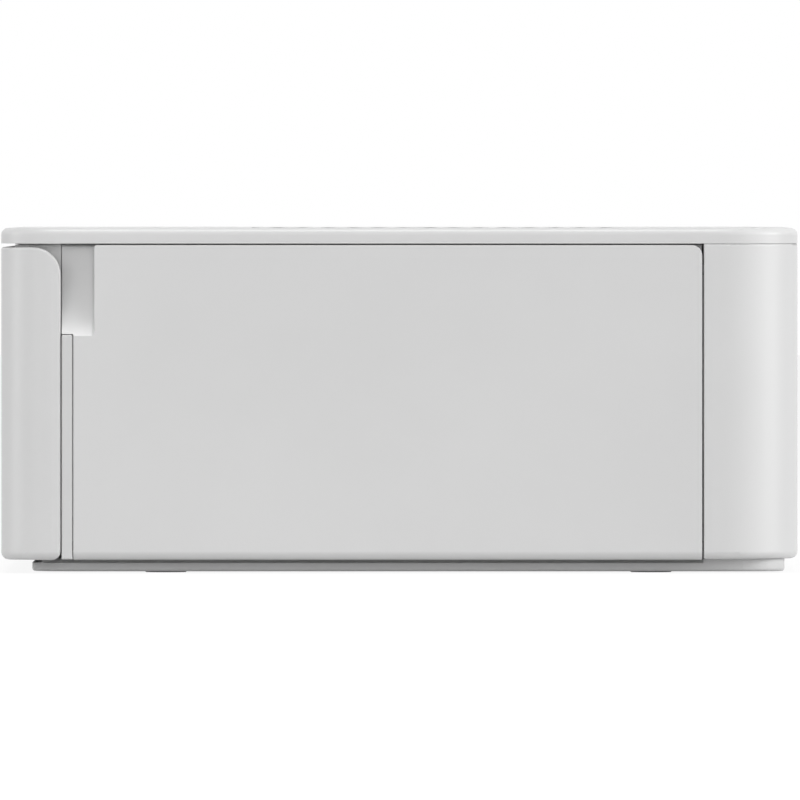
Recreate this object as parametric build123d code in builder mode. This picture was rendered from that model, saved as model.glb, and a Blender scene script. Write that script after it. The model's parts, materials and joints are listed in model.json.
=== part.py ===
from build123d import *
import os
from math import acos, atan2, cos, degrees, hypot, pi, radians, sin, sqrt, tan

# A compact dye-sublimation photo printer. Millimetres, +Z up, front towards -Y, ink door on +X.
# The origin lies on the floor, below the middle of the printer's outline.

os.makedirs("parts", exist_ok=True)

# ---------------------------------------------------------------- outside
width = 182.2
depth = 133.0
height = 57.6
wall = 2.0
front_corner_radius = 8.5
rear_corner_radius = 14.5
rim_rounding = 0.4
fit_gap = 0.3
part_gap = 0.25
cut_past = 1.0

x_side = width / 2
x_inside = x_side - wall
y_front = -depth / 2
y_rear = depth / 2

# top cover, with a shallow field sunk into it that holds a surface pattern
top_cover_height = 2.6
top_edge_radius = 1.15
field_depth = 0.08
field_front_margin = 16.1
field_margin = 6.3
field_front_corner = 4.0
field_rear_corner = rear_corner_radius - field_margin
top_seam_z = height - top_cover_height
top_underside = height - wall

# front cover
front_cover_bottom = 2.25
front_slot = 0.6
front_cover_top = top_seam_z - front_slot
front_cover_wrap = 10.0
front_cover_rear = y_front + front_cover_wrap
front_cover_corner = 4.67
front_cover_heel = 1.3
front_cover_foot = 1.5

# narrow strip of the inner frame beside the ink door
door_slot = 0.25
door_side_gap = 0.12
cover_side_gap = 0.17
door_top = top_seam_z - door_slot
frame_top = door_top
strip_front = front_cover_rear + cover_side_gap
strip_width = 1.8
strip_rear = strip_front + strip_width
strip_top = frame_top - 14.95
strip_corner = 0.35
strip_rounding = 0.25

# ink door, with the finger scoop in its upper front corner
door_bottom = 2.3
door_front = strip_rear + door_side_gap
door_rear_margin = 16.05
door_rear = y_rear - door_rear_margin
scoop_width = 3.6
scoop_rear = strip_rear + scoop_width
scoop_floor_depth = 3.7
scoop_skin = 1.8
scoop_bend_z = frame_top - 4.25
scoop_lip_z = frame_top - 15.15
scoop_backing_x = x_side - scoop_floor_depth - scoop_skin
scoop_block_rear = scoop_rear + scoop_skin
scoop_block_bottom = strip_top + door_side_gap
door_top_radius = 1.75
door_roll = 1.3

# rear housing
shell_bottom = 2.4
shell_heel = 1.2
shell_right_front = door_rear + part_gap
shell_cut_width = 13.1
floor_flange = 2.0
flange_width = 5.5

# base pan and feet
foot_height = 0.3
foot_radius = 3.6
foot_inset_x = 16.0
foot_inset_y = 22.25
base_lower_top = 1.7
base_side = x_side - 5.1
base_front = y_front + 5.15
base_rear = y_rear - 2.2
base_ledge = 1.6
collar_gap = 0.05
base_corner = 7.0
base_heel = 0.5
screw_head_radius = 2.4
screw_shank_radius = 1.2
screw_head_top = 1.75
screw_tip = 8.5

# cover hinges
hinge_pin_radius = 0.8
running_gap = 0.05
front_hinge_y = y_front + 2.8
front_hinge_z = 4.6
door_hinge_x = x_side - 2.9
door_hinge_z = 4.58
lug_radius = 1.8
ear_radius = 1.6
ear_x = x_side - 13.6
ear_width = 3.0
lug_width = 2.7
door_lug_length = 3.0
hinge_boss_skin = 2.0
hinge_boss_length = 3.0

# ---------------------------------------------------------------- inside
frame_skin = 1.8
frame_front = y_front + wall + fit_gap
frame_side = x_side - wall - fit_gap
frame_bottom = 6.9
front_opening_half = 56.0
front_opening_bottom = 8.4
front_opening_top = 30.0

# paper path and the two chassis plates; the mechanism keeps its distance from the rear wall
paper_z = 22.5
plate_x = front_opening_half + 4.0
plate_skin = 1.0
board_bottom = top_underside - 3.6
plate_top = board_bottom - 0.5
inner_x = plate_x - plate_skin
roller_half = inner_x - 7.0

capstan_radius = 4.0
capstan_journal = 2.0
capstan_y = y_rear - 78.5
capstan_z = paper_z - capstan_radius
pinch_radius = 3.0
pinch_journal = 1.5
pinch_z = paper_z + 0.1 + pinch_radius
platen_radius = 7.0
platen_core = 3.0
platen_journal = 2.0
platen_y = capstan_y + 31.0
platen_z = paper_z - 0.1 - platen_radius
pickup_radius = 5.5
pickup_journal = 2.5
pickup_z = paper_z + pickup_radius
bush_radius = 3.2
bush_length = 2.4
plate_front = capstan_y - 18.0
plate_rear = y_rear - 12.5

# paper-cassette bay, which reaches back under the pickup roller
bay_wall = 1.5
bay_rear = capstan_y - 6.0
bay_high_rear = capstan_y - 22.0
bay_low_top = paper_z - 0.2

module = 0.6
backlash = 0.14
capstan_teeth = 24
platen_teeth = 28
idler_teeth = 27
pickup_teeth = 32
large_teeth = 40
small_teeth = 14
pinion_teeth = 12
takeup_teeth = 20
gear_inner_x = -(plate_x + 1.5)
gear_width = 4.0
gear_outer_x = gear_inner_x - gear_width
second_inner_x = gear_outer_x - 0.8
second_width = 3.5
second_outer_x = second_inner_x - second_width
axle_radius = 1.5
bracket_skin = 1.0
bracket_x = second_outer_x - 0.7 - bracket_skin
motor_outer_x = -x_inside + 1.1
feed_motor_radius = 10.0
ribbon_motor_radius = 8.0
motor_shaft_radius = 1.0

# ink bay and ink cassette
ink_open_front = capstan_y + 5.0
ink_open_rear = door_rear - 0.85
ink_open_bottom = paper_z + 0.3
ink_open_top = frame_top - 6.25
case_skin = 0.8
case_clear = 0.8
takeup_case_radius = 8.6
takeup_roll_radius = takeup_case_radius - case_skin - 1.3
takeup_core_radius = 4.0
takeup_y = capstan_y + 15.0
takeup_z = paper_z + 10.5
supply_case_radius = 11.0
supply_roll_radius = supply_case_radius - case_skin - case_clear
supply_core_radius = 5.0
supply_y = capstan_y + 49.0
supply_z = ink_open_bottom + 0.7 + supply_case_radius
spool_journal = 2.5
roll_half = roller_half - 1.0
case_left_x = -inner_x + 0.2
case_end_skin = 1.5
case_right_x = plate_x + 1.0
case_cap_width = 6.0
case_cap_inner_x = case_right_x - case_cap_width
case_cap_top = ink_open_top - 2.5

# print head
arm_pivot_y = capstan_y + 2.0
arm_pivot_radius = 2.0
arm_skin = 1.5
arm_gap = 0.4
arm_pivot_z = takeup_z + takeup_case_radius + arm_gap + arm_skin
arm_half = roller_half - 0.5
head_front = platen_y - 4.5
head_rear = platen_y + 3.5
head_bottom = paper_z + 0.6
ceramic_top = head_bottom + 1.2

# circuit boards
board_skin = 1.2
board_top = board_bottom + board_skin
main_board_z = 5.0
main_board_top = main_board_z + 1.6
main_board_inner_x = -(plate_x + 7.5)
main_board_outer_x = -x_inside + 1.1
main_board_front = y_front + 14.5
main_board_rear = plate_rear

# display window, and the key field at its right
controls_x = x_side - 37.1
controls_y = 6.0
window_left = -x_side + 27.1
window_right = controls_x - 34.0
window_length = window_right - window_left
window_width = 62.0
window_x = (window_left + window_right) / 2
window_y = controls_y
window_skin = 1.2
window_ledge = 3.0
window_corner = 3.0

button_gap = 0.25
button_top = height - 0.05
button_travel = 0.4
button_flange = 0.5
button_flange_reach = 0.9
switch_top = board_top + 1.1


# ---------------------------------------------------------------- helpers
def plan_face(inset, z):
    """The printer's outline seen from above, drawn in by inset, as a face at height z."""
    with BuildSketch(Plane.XY.offset(z)) as outline:
        Rectangle(width - 2 * inset, depth - 2 * inset)
        fillet(outline.vertices().group_by(Axis.Y)[0], front_corner_radius - inset)
        fillet(outline.vertices().group_by(Axis.Y)[-1], rear_corner_radius - inset)
    return outline.sketch


def outline_distance(x, y):
    """How far a point lies outside the printer's outline seen from above."""
    radius = front_corner_radius if y < 0 else rear_corner_radius
    out_x = abs(x) - (width / 2 - radius)
    out_y = abs(y) - (depth / 2 - radius)
    return hypot(max(out_x, 0), max(out_y, 0)) + min(max(out_x, out_y), 0) - radius


def is_seam(edge):
    """True for an upright line where a flat side runs smoothly into a rounded corner."""
    start = edge @ 0
    end = edge @ 1
    upright = abs(start.X - end.X) + abs(start.Y - end.Y) < 0.001
    radius = front_corner_radius if start.Y < 0 else rear_corner_radius
    off_x = abs(abs(start.X) - (width / 2 - radius))
    off_y = abs(abs(start.Y) - (depth / 2 - radius))
    return upright and min(off_x, off_y) < 0.01


def rim_edges(shape, low=0.0, high=height):
    """Edges that border the outer side walls between two heights, without the smooth seams."""
    found = ShapeList()
    for edge in shape.edges():
        points = [edge @ t for t in (0, 0.3, 0.5, 0.7, 1)]
        outside = all(abs(outline_distance(p.X, p.Y)) < 0.01 for p in points)
        between = all(low - 0.01 < p.Z < high + 0.01 for p in points)
        if outside and between and not is_seam(edge):
            found.append(edge)
    return found


def block(x0, x1, y0, y1, z0, z1, mode=Mode.ADD):
    """A box between two corners."""
    with Locations(((x0 + x1) / 2, (y0 + y1) / 2, (z0 + z1) / 2)):
        Box(abs(x1 - x0), abs(y1 - y0), abs(z1 - z0), mode=mode)


def rod_x(x0, x1, y, z, radius, mode=Mode.ADD):
    """A round bar along X."""
    with Locations(Location(((x0 + x1) / 2, y, z), (0, 90, 0))):
        Cylinder(radius, abs(x1 - x0), mode=mode)


def rod_y(y0, y1, x, z, radius, mode=Mode.ADD):
    """A round bar along Y."""
    with Locations(Location((x, (y0 + y1) / 2, z), (90, 0, 0))):
        Cylinder(radius, abs(y1 - y0), mode=mode)


def rod_z(z0, z1, x, y, radius, mode=Mode.ADD):
    """A round bar along Z."""
    with Locations((x, y, (z0 + z1) / 2)):
        Cylinder(radius, abs(z1 - z0), mode=mode)


def side_plane(x):
    """A plane square to X, whose own x and y run along +Y and +Z."""
    return Plane(origin=(x, 0, 0), x_dir=(0, 1, 0), z_dir=(1, 0, 0))


def finish(part, name):
    """Label a finished piece and write it."""
    part.label = name
    export_step(part, "parts/" + name + ".step")


# ---------------------------------------------------------------- gear geometry
def pitch_radius(teeth):
    return module * teeth / 2


def gear_distance(teeth_a, teeth_b):
    return pitch_radius(teeth_a) + pitch_radius(teeth_b)


def half_tooth(radius, teeth):
    """Half the angle of a tooth at a radius, on an involute flank."""
    pitch = pitch_radius(teeth)
    pressure = radians(20)
    base = pitch * cos(pressure)
    angle = acos(base / radius) if radius > base else 0
    widening = (tan(pressure) - pressure) - (tan(angle) - angle)
    return (pi * module / 2 - backlash) / (2 * pitch) + widening


def gear_points(teeth, phase):
    """Corners of a gear about its own centre, with one tooth centred at the angle phase."""
    pitch = pitch_radius(teeth)
    radii = [pitch - 1.15 * module, pitch - 0.3 * module, pitch + 0.3 * module, pitch + 0.8 * module]
    points = []
    for tooth in range(teeth):
        middle = phase + 2 * pi * tooth / teeth
        for radius in radii:
            angle = middle - half_tooth(radius, teeth)
            points.append((radius * cos(angle), radius * sin(angle)))
        for radius in reversed(radii):
            angle = middle + half_tooth(radius, teeth)
            points.append((radius * cos(angle), radius * sin(angle)))
    return points


def mesh_phase(centre_a, teeth_a, phase_a, centre_b, teeth_b):
    """The phase that puts a gap of gear b round the tooth of gear a on their common line."""
    line = atan2(centre_b[1] - centre_a[1], centre_b[0] - centre_a[0])
    pitches_a = (line - phase_a) * teeth_a / (2 * pi)
    return line + pi - (0.5 - pitches_a) * 2 * pi / teeth_b


def gear_x(x0, x1, centre, teeth, phase):
    """A spur gear along X."""
    plane = side_plane(x0)
    plane.origin = (x0, centre[0], centre[1])
    with BuildSketch(plane) as profile:
        with BuildLine():
            Polyline(*gear_points(teeth, phase), close=True)
        make_face()
    extrude(profile.sketch, amount=x1 - x0)


def meet(centre_a, reach_a, centre_b, reach_b):
    """The lower of the two points at the given distances from two centres."""
    span = hypot(centre_b[0] - centre_a[0], centre_b[1] - centre_a[1])
    along = (span**2 + reach_a**2 - reach_b**2) / (2 * span)
    off = sqrt(reach_a**2 - along**2)
    unit = ((centre_b[0] - centre_a[0]) / span, (centre_b[1] - centre_a[1]) / span)
    return (
        centre_a[0] + along * unit[0] + off * unit[1],
        centre_a[1] + along * unit[1] - off * unit[0],
    )


def at_angle(centre, reach, angle):
    """The point at a distance and an angle in degrees from a centre."""
    return (centre[0] + reach * cos(radians(angle)), centre[1] + reach * sin(radians(angle)))


# gear centres, as (y, z), and the angle of one tooth of each
capstan_centre = (capstan_y, capstan_z)
platen_centre = (platen_y, platen_z)
takeup_centre = (takeup_y, takeup_z)
supply_centre = (supply_y, supply_z)
idler_centre = meet(
    capstan_centre,
    gear_distance(capstan_teeth, idler_teeth),
    platen_centre,
    gear_distance(platen_teeth, idler_teeth),
)
pickup_reach = gear_distance(capstan_teeth, pickup_teeth)
pickup_centre = (capstan_y - sqrt(pickup_reach**2 - (pickup_z - capstan_z) ** 2), pickup_z)
compound_centre = at_angle(capstan_centre, gear_distance(capstan_teeth, small_teeth), 75)
feed_centre = at_angle(compound_centre, gear_distance(large_teeth, pinion_teeth), 150)
ribbon_centre = at_angle(takeup_centre, gear_distance(takeup_teeth, pinion_teeth), 35)

capstan_phase = 0.0
idler_phase = mesh_phase(capstan_centre, capstan_teeth, capstan_phase, idler_centre, idler_teeth)
platen_phase = mesh_phase(idler_centre, idler_teeth, idler_phase, platen_centre, platen_teeth)
pickup_phase = mesh_phase(capstan_centre, capstan_teeth, capstan_phase, pickup_centre, pickup_teeth)
small_phase = mesh_phase(capstan_centre, capstan_teeth, capstan_phase, compound_centre, small_teeth)
feed_phase = mesh_phase(compound_centre, large_teeth, 0.0, feed_centre, pinion_teeth)
ribbon_phase = mesh_phase(takeup_centre, takeup_teeth, 0.0, ribbon_centre, pinion_teeth)

# screw posts, as (x, y), under the inner frame and inside the rear housing
front_post_y = y_front + 8.5
side_post_x = frame_side - 7.3
side_post_front_y = y_front + 19.5
side_post_rear_y = y_rear - 43.5
rear_post_y = y_rear - 6.5
rear_post_right_x = x_side - 21.1
rear_post_left_x = -x_side + 41.1
frame_posts = [(ear_x, front_post_y), (-ear_x, front_post_y)]
frame_posts += [(side_post_x, side_post_front_y), (side_post_x, side_post_rear_y)]
shell_posts = [(rear_post_right_x, rear_post_y), (rear_post_left_x, rear_post_y)]
post_radius = 3.0
frame_post_radius = 2.3
post_top = 12.0
screw_play = 0.2

# name, centre x, centre y, length and width of each button
key_step = 13.0
key_row = 27.0
key_column = 16.0
buttons = [
    ("button_power", controls_x + key_column + 2, controls_y + key_row, 8.0, 8.0),
    ("button_menu", controls_x - key_column, controls_y + key_row, 12.0, 5.5),
    ("button_back", controls_x - key_column, controls_y - key_row, 12.0, 5.5),
    ("button_up", controls_x, controls_y + key_step, 11.0, 5.5),
    ("button_down", controls_x, controls_y - key_step, 11.0, 5.5),
    ("button_left", controls_x - key_step, controls_y, 5.5, 11.0),
    ("button_right", controls_x + key_step, controls_y, 5.5, 11.0),
    ("button_ok", controls_x, controls_y, 11.0, 11.0),
    ("button_print", controls_x + key_step, controls_y - key_row, 18.0, 7.0),
]


def button_sketch(length, breadth, grow, z):
    """A button's outline: round when it is as wide as long, else with half-round ends."""
    with BuildSketch(Plane.XY.offset(z)) as outline:
        if length == breadth:
            Circle(length / 2 + grow)
        elif length > breadth:
            SlotOverall(length + 2 * grow, breadth + 2 * grow)
        else:
            SlotOverall(breadth + 2 * grow, length + 2 * grow, rotation=90)
    return outline.sketch


# ================================================================ outer casing
board_left = window_left - 3.0
board_right = x_side - 10.1
board_front = window_y - 35.0
board_rear = window_y + 37.0
board_post_inset = 3.0
board_posts = [
    (x, y)
    for x in (board_left + board_post_inset, board_right - board_post_inset)
    for y in (board_front + board_post_inset, board_rear - board_post_inset)
]
board_post_radius = 2.2
rib_drop = 1.6
rib_skin = 1.2
left_rib_front = y_front + 18.5
left_rib_rear = y_rear - 22.5
rear_rib_half = x_side - 21.1
light_gap = 0.1
light_rib_x = scoop_backing_x - 0.4
light_rib_drop = 0.6

with BuildPart() as top_cover:
    extrude(plan_face(0, top_seam_z), amount=height - top_seam_z)
    fillet(top_cover.faces().sort_by(Axis.Z)[-1].edges(), top_edge_radius)
    extrude(plan_face(wall, top_seam_z), amount=top_underside - top_seam_z, mode=Mode.SUBTRACT)
    # field for the surface pattern
    with BuildSketch(Plane.XY.offset(height - field_depth)) as field:
        field_length = depth - field_front_margin - field_margin
        with Locations((0, (field_front_margin - field_margin) / 2)):
            Rectangle(width - 2 * field_margin, field_length)
        fillet(field.vertices().group_by(Axis.Y)[0], field_front_corner)
        fillet(field.vertices().group_by(Axis.Y)[-1], field_rear_corner)
    extrude(amount=field_depth, mode=Mode.SUBTRACT)
    # ribs that locate the cover inside the rear housing
    rib_x = x_inside - fit_gap
    rib_bottom = top_seam_z - rib_drop
    block(-rib_x, -rib_x + rib_skin, left_rib_front, left_rib_rear, rib_bottom, top_underside)
    # shallow rib over the inner frame's front, and a deep one behind the ink door's top edge
    shallow_bottom = frame_top + light_gap
    shallow_height = top_underside - shallow_bottom
    with BuildSketch(Plane.XY.offset(shallow_bottom)):
        add(plan_face(wall + fit_gap, shallow_bottom))
        add(plan_face(wall + fit_gap + rib_skin, shallow_bottom), mode=Mode.SUBTRACT)
        with Locations((0, strip_front - light_gap + depth / 2)):
            Rectangle(2 * width, depth, mode=Mode.SUBTRACT)
    extrude(amount=shallow_height)
    block(
        light_rib_x - rib_skin,
        light_rib_x,
        strip_front - rib_skin,
        door_rear,
        frame_top - light_rib_drop,
        top_underside,
    )
    rib_y = y_rear - wall - fit_gap
    block(-rear_rib_half, rear_rib_half, rib_y - rib_skin, rib_y, rib_bottom, top_underside)
    for post_x, post_y in board_posts:
        rod_z(board_top, top_underside, post_x, post_y, board_post_radius)
    # window recess and the smaller opening under it
    with BuildSketch(Plane.XY.offset(height - window_skin)):
        with Locations((window_x, window_y)):
            RectangleRounded(
                window_length + part_gap, window_width + part_gap, window_corner + part_gap / 2
            )
    extrude(amount=window_skin, mode=Mode.SUBTRACT)
    with BuildSketch(Plane.XY.offset(top_seam_z)):
        with Locations((window_x, window_y)):
            Rectangle(window_length - 2 * window_ledge, window_width - 2 * window_ledge)
    extrude(amount=top_cover_height, mode=Mode.SUBTRACT)
    for name, button_x, button_y, length, breadth in buttons:
        hole = button_sketch(length, breadth, button_gap, top_seam_z)
        extrude(Pos(button_x, button_y, 0) * hole, amount=top_cover_height, mode=Mode.SUBTRACT)
finish(top_cover.part, "top_cover")

with BuildPart() as display_window:
    with BuildSketch(Plane.XY.offset(height - window_skin)):
        with Locations((window_x, window_y)):
            RectangleRounded(window_length, window_width, window_corner)
    extrude(amount=window_skin)
finish(display_window.part, "display_window")

panel_margin = 1.0
with BuildPart() as display_panel:
    block(
        window_x - window_length / 2 + window_ledge + panel_margin,
        window_x + window_length / 2 - window_ledge - panel_margin,
        window_y - window_width / 2 + window_ledge + panel_margin,
        window_y + window_width / 2 - window_ledge - panel_margin,
        board_top,
        height - window_skin,
    )
finish(display_panel.part, "display_panel")

with BuildPart() as control_board:
    block(board_left, board_right, board_front, board_rear, board_bottom, board_top)
finish(control_board.part, "control_board")

switch_side = 4.0
switch_body_height = 0.8
switch_plunger_radius = 1.0
with BuildPart() as key_switches:
    for name, button_x, button_y, length, breadth in buttons:
        half = switch_side / 2
        block(
            button_x - half,
            button_x + half,
            button_y - half,
            button_y + half,
            board_top,
            board_top + switch_body_height,
        )
        rod_z(board_top + switch_body_height, switch_top, button_x, button_y, switch_plunger_radius)
finish(key_switches.part, "key_switches")

button_rounding = 0.35
button_stem_radius = 1.6
for name, button_x, button_y, length, breadth in buttons:
    with BuildPart() as button:
        place = Pos(button_x, button_y, 0)
        flange_top = top_underside - part_gap
        flange_bottom = flange_top - button_flange
        extrude(place * button_sketch(length, breadth, 0, flange_bottom), amount=button_top - flange_bottom)
        fillet(button.faces().sort_by(Axis.Z)[-1].edges(), button_rounding)
        flange_face = button_sketch(length, breadth, button_flange_reach, flange_bottom)
        extrude(place * flange_face, amount=flange_top - flange_bottom)
        stem_bottom = switch_top + button_travel + running_gap
        rod_z(stem_bottom, flange_top, button_x, button_y, button_stem_radius)
    finish(button.part, name)

# paper slot at the back, inlet and socket openings
slot_half = roller_half + 1.0
slot_bottom = paper_z - 2.9
slot_top = paper_z + 3.1
inlet_x = -x_side + 21.1
inlet_z = main_board_top + 5.0
inlet_nose_radius = 3.6
reader_front = main_board_front + 2.0
reader_rear = reader_front + 27.0
reader_wall = 1.3
reader_top = main_board_top + 3.0
reader_slot_height = 2.4
socket_y = -10.0
socket_length = 9.0
socket_top = main_board_top + 3.2
opening_clear = 0.4
post_web = 2.0
screw_end_gap = 0.5
vent_count = 7
vent_pitch = 4.0
vent_width = 1.6
vent_height = 12.0
vent_first_x = x_side - 49.1
vent_z = top_seam_z - 15.0

with BuildPart() as body_shell:
    extrude(plan_face(0, shell_bottom), amount=top_seam_z - shell_bottom)
    fillet(body_shell.faces().sort_by(Axis.Z)[0].edges(), shell_heel)
    cavity_bottom = shell_bottom + floor_flange
    extrude(plan_face(wall, cavity_bottom), amount=top_seam_z - cavity_bottom, mode=Mode.SUBTRACT)
    flange_face = plan_face(wall + flange_width, shell_bottom)
    extrude(flange_face, amount=floor_flange, mode=Mode.SUBTRACT)
    outer_left = -x_side - cut_past
    outer_right = x_side + cut_past
    outer_front = y_front - cut_past
    block(outer_left, outer_right, outer_front, strip_front, 0, height, Mode.SUBTRACT)
    cut_x = x_side - shell_cut_width
    block(cut_x, outer_right, outer_front, shell_right_front, 0, height, Mode.SUBTRACT)
    fillet(rim_edges(body_shell, shell_bottom + shell_heel), rim_rounding - 0.05)
    # boss that carries the rear end of the door's hinge
    boss_top = frame_bottom - part_gap
    boss_x = door_hinge_x - hinge_boss_skin
    boss_rear = shell_right_front + hinge_boss_length
    block(boss_x, x_inside + wall / 4, shell_right_front, boss_rear, shell_bottom + 0.6, boss_top)
    bore = hinge_pin_radius + running_gap
    rod_y(shell_right_front - cut_past, boss_rear - 0.1, door_hinge_x, door_hinge_z, bore, Mode.SUBTRACT)
    for post_x, post_y in shell_posts:
        rod_z(shell_bottom, post_top, post_x, post_y, post_radius)
        half_web = post_web / 2
        block(post_x - half_web, post_x + half_web, post_y, y_rear - wall, shell_bottom + 1, post_top)
        rod_z(0, screw_tip + screw_end_gap, post_x, post_y, screw_shank_radius, Mode.SUBTRACT)
    wall_in = y_rear - wall - cut_past
    wall_out = y_rear + cut_past
    block(-slot_half, slot_half, wall_in, wall_out, slot_bottom, slot_top, Mode.SUBTRACT)
    inlet_hole = inlet_nose_radius + opening_clear
    rod_y(wall_in, wall_out, inlet_x, inlet_z, inlet_hole, Mode.SUBTRACT)
    block(
        outer_left,
        -x_inside + cut_past,
        reader_front + reader_wall - 0.5,
        reader_rear - reader_wall + 0.5,
        main_board_top + 0.1,
        reader_top - 0.1,
        Mode.SUBTRACT,
    )
    block(
        outer_left,
        -x_inside + cut_past,
        socket_y - socket_length / 2 - opening_clear,
        socket_y + socket_length / 2 + opening_clear,
        main_board_top,
        socket_top + opening_clear,
        Mode.SUBTRACT,
    )
    for vent in range(vent_count):
        vent_x = vent_first_x + vent * vent_pitch
        block(
            vent_x - vent_width / 2,
            vent_x + vent_width / 2,
            wall_in,
            wall_out,
            vent_z - vent_height / 2,
            vent_z + vent_height / 2,
            Mode.SUBTRACT,
        )
finish(body_shell.part, "body_shell")

foot_recess = 0.5
foot_x = base_side - foot_inset_x
foot_rows = (base_front + foot_inset_y, base_rear - foot_inset_y)
foot_places = [(x, y) for x in (-foot_x, foot_x) for y in foot_rows]
screw_places = frame_posts + shell_posts
head_recess_radius = screw_head_radius + 0.3

with BuildPart() as base_pan:
    with BuildSketch(Plane.XY.offset(foot_height)):
        with Locations((0, (base_front + base_rear) / 2)):
            RectangleRounded(2 * base_side, base_rear - base_front, base_corner)
    extrude(amount=base_lower_top - foot_height)
    fillet(base_pan.faces().sort_by(Axis.Z)[0].edges(), base_heel)
    with BuildSketch(Plane.XY.offset(base_lower_top)):
        with Locations((0, (base_front + base_rear) / 2)):
            RectangleRounded(
                2 * (base_side - base_ledge), base_rear - base_front - 2 * base_ledge, base_corner
            )
    extrude(amount=shell_bottom - base_lower_top)
    with BuildSketch(Plane.XY.offset(base_lower_top)):
        with Locations((0, (base_front + base_rear) / 2)):
            RectangleRounded(2 * base_side, base_rear - base_front, base_corner)
        with Locations((0, shell_right_front - depth / 2)):
            Rectangle(2 * width, depth, mode=Mode.SUBTRACT)
    extrude(amount=shell_bottom - collar_gap - base_lower_top)
    for foot_place_x, foot_place_y in foot_places:
        rod_z(0, foot_height + foot_recess, foot_place_x, foot_place_y, foot_radius, Mode.SUBTRACT)
    for screw_x, screw_y in screw_places:
        rod_z(0, screw_head_top, screw_x, screw_y, head_recess_radius, Mode.SUBTRACT)
        rod_z(0, shell_bottom + 1, screw_x, screw_y, screw_shank_radius + screw_play, Mode.SUBTRACT)
finish(base_pan.part, "base_pan")

foot_chamfer = 0.25
with BuildPart() as rubber_feet:
    for foot_place_x, foot_place_y in foot_places:
        rod_z(0, foot_height + foot_recess, foot_place_x, foot_place_y, foot_radius)
    chamfer(rubber_feet.edges().group_by(Axis.Z)[0], foot_chamfer)
finish(rubber_feet.part, "rubber_feet")

screw_head_height = 1.1
driver_depth = 0.5
driver_half = 1.4
driver_half_width = 0.25
with BuildPart() as base_screws:
    for screw_x, screw_y in screw_places:
        rod_z(screw_head_top - screw_head_height, screw_head_top, screw_x, screw_y, screw_head_radius)
        rod_z(screw_head_top, screw_tip, screw_x, screw_y, screw_shank_radius)
        slot_z = screw_head_top - screw_head_height
        for half_x, half_y in ((driver_half, driver_half_width), (driver_half_width, driver_half)):
            block(
                screw_x - half_x,
                screw_x + half_x,
                screw_y - half_y,
                screw_y + half_y,
                slot_z,
                slot_z + driver_depth,
                Mode.SUBTRACT,
            )
finish(base_screws.part, "base_screws")

# ================================================================ covers that open
tab_reach = 2.6
tab_thickness = 1.2
tab_half = 4.0
tab_z = frame_top - 5.75
front_tab_x = x_side - 27.1
door_tab_y = door_front + 29.25

# what is cut from the front cover's lower rear corners, so that they clear the frame as it swings
with BuildPart() as cover_foot:
    foot_y = front_cover_rear - front_cover_foot
    foot_z = front_cover_bottom + front_cover_foot
    block(outer_left, outer_right, foot_y, front_cover_rear + cut_past, 0, foot_z)
    rod_x(outer_left, outer_right, foot_y, foot_z, front_cover_foot, Mode.SUBTRACT)

with BuildPart() as front_cover:
    cover_height = front_cover_top - front_cover_bottom
    extrude(plan_face(0, front_cover_bottom), amount=cover_height)
    fillet(front_cover.faces().sort_by(Axis.Z)[0].edges(), front_cover_heel)
    extrude(plan_face(wall, front_cover_bottom), amount=cover_height, mode=Mode.SUBTRACT)
    block(outer_left, outer_right, front_cover_rear, wall_out, 0, height, Mode.SUBTRACT)
    rear_edges = front_cover.edges().filter_by(Axis.X).group_by(Axis.Y)[-1]
    fillet(rear_edges.group_by(Axis.Z)[-1], front_cover_corner)
    fillet(rim_edges(front_cover, front_cover_bottom + front_cover_heel), rim_rounding)
    add(cover_foot.part, mode=Mode.SUBTRACT)
    cover_inner_y = y_front + wall
    for side in (-1, 1):
        ear_inner = side * (ear_x - ear_width / 2 - fit_gap)
        ear_outer = side * (ear_x + ear_width / 2 + fit_gap)
        # pocket in the wall that clears the frame's ear
        pocket_y = front_hinge_y - ear_radius - fit_gap
        pocket_top = front_hinge_z + ear_radius + fit_gap
        block(ear_inner, ear_outer, pocket_y, cover_inner_y + 1, 0, pocket_top, Mode.SUBTRACT)
        for lug_start, lug_end in (
            (ear_inner - side * lug_width, ear_inner),
            (ear_outer, ear_outer + side * lug_width),
        ):
            rod_x(lug_start, lug_end, front_hinge_y, front_hinge_z, lug_radius)
            block(
                lug_start,
                lug_end,
                cover_inner_y - 0.5,
                front_hinge_y,
                front_hinge_z - lug_radius,
                front_hinge_z + lug_radius,
            )
        rod_x(
            ear_inner - side * lug_width,
            ear_outer + side * lug_width,
            front_hinge_y,
            front_hinge_z,
            hinge_pin_radius,
            Mode.SUBTRACT,
        )
        # snap tab near the top corner
        block(
            side * front_tab_x - tab_half,
            side * front_tab_x + tab_half,
            cover_inner_y - 0.5,
            cover_inner_y + tab_reach,
            tab_z,
            tab_z + tab_thickness,
        )
finish(front_cover.part, "front_cover")

with BuildPart() as front_hinge_pins:
    for side in (-1, 1):
        pin_reach = ear_width / 2 + fit_gap + lug_width
        rod_x(
            side * ear_x - pin_reach,
            side * ear_x + pin_reach,
            front_hinge_y,
            front_hinge_z,
            hinge_pin_radius,
        )
finish(front_hinge_pins.part, "front_hinge_pins")

front_pin_tip = strip_front + 0.3
rear_pin_tip = boss_rear - 0.4
lug_inset = 0.2
door_lugs = [(door_front + lug_inset, door_front + lug_inset + door_lug_length)]
door_lugs.append((door_rear - lug_inset - door_lug_length, door_rear - lug_inset))

scoop_floor_rounding = 0.5
scoop_top_rounding = 0.45
door_rounding = 0.2

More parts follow.
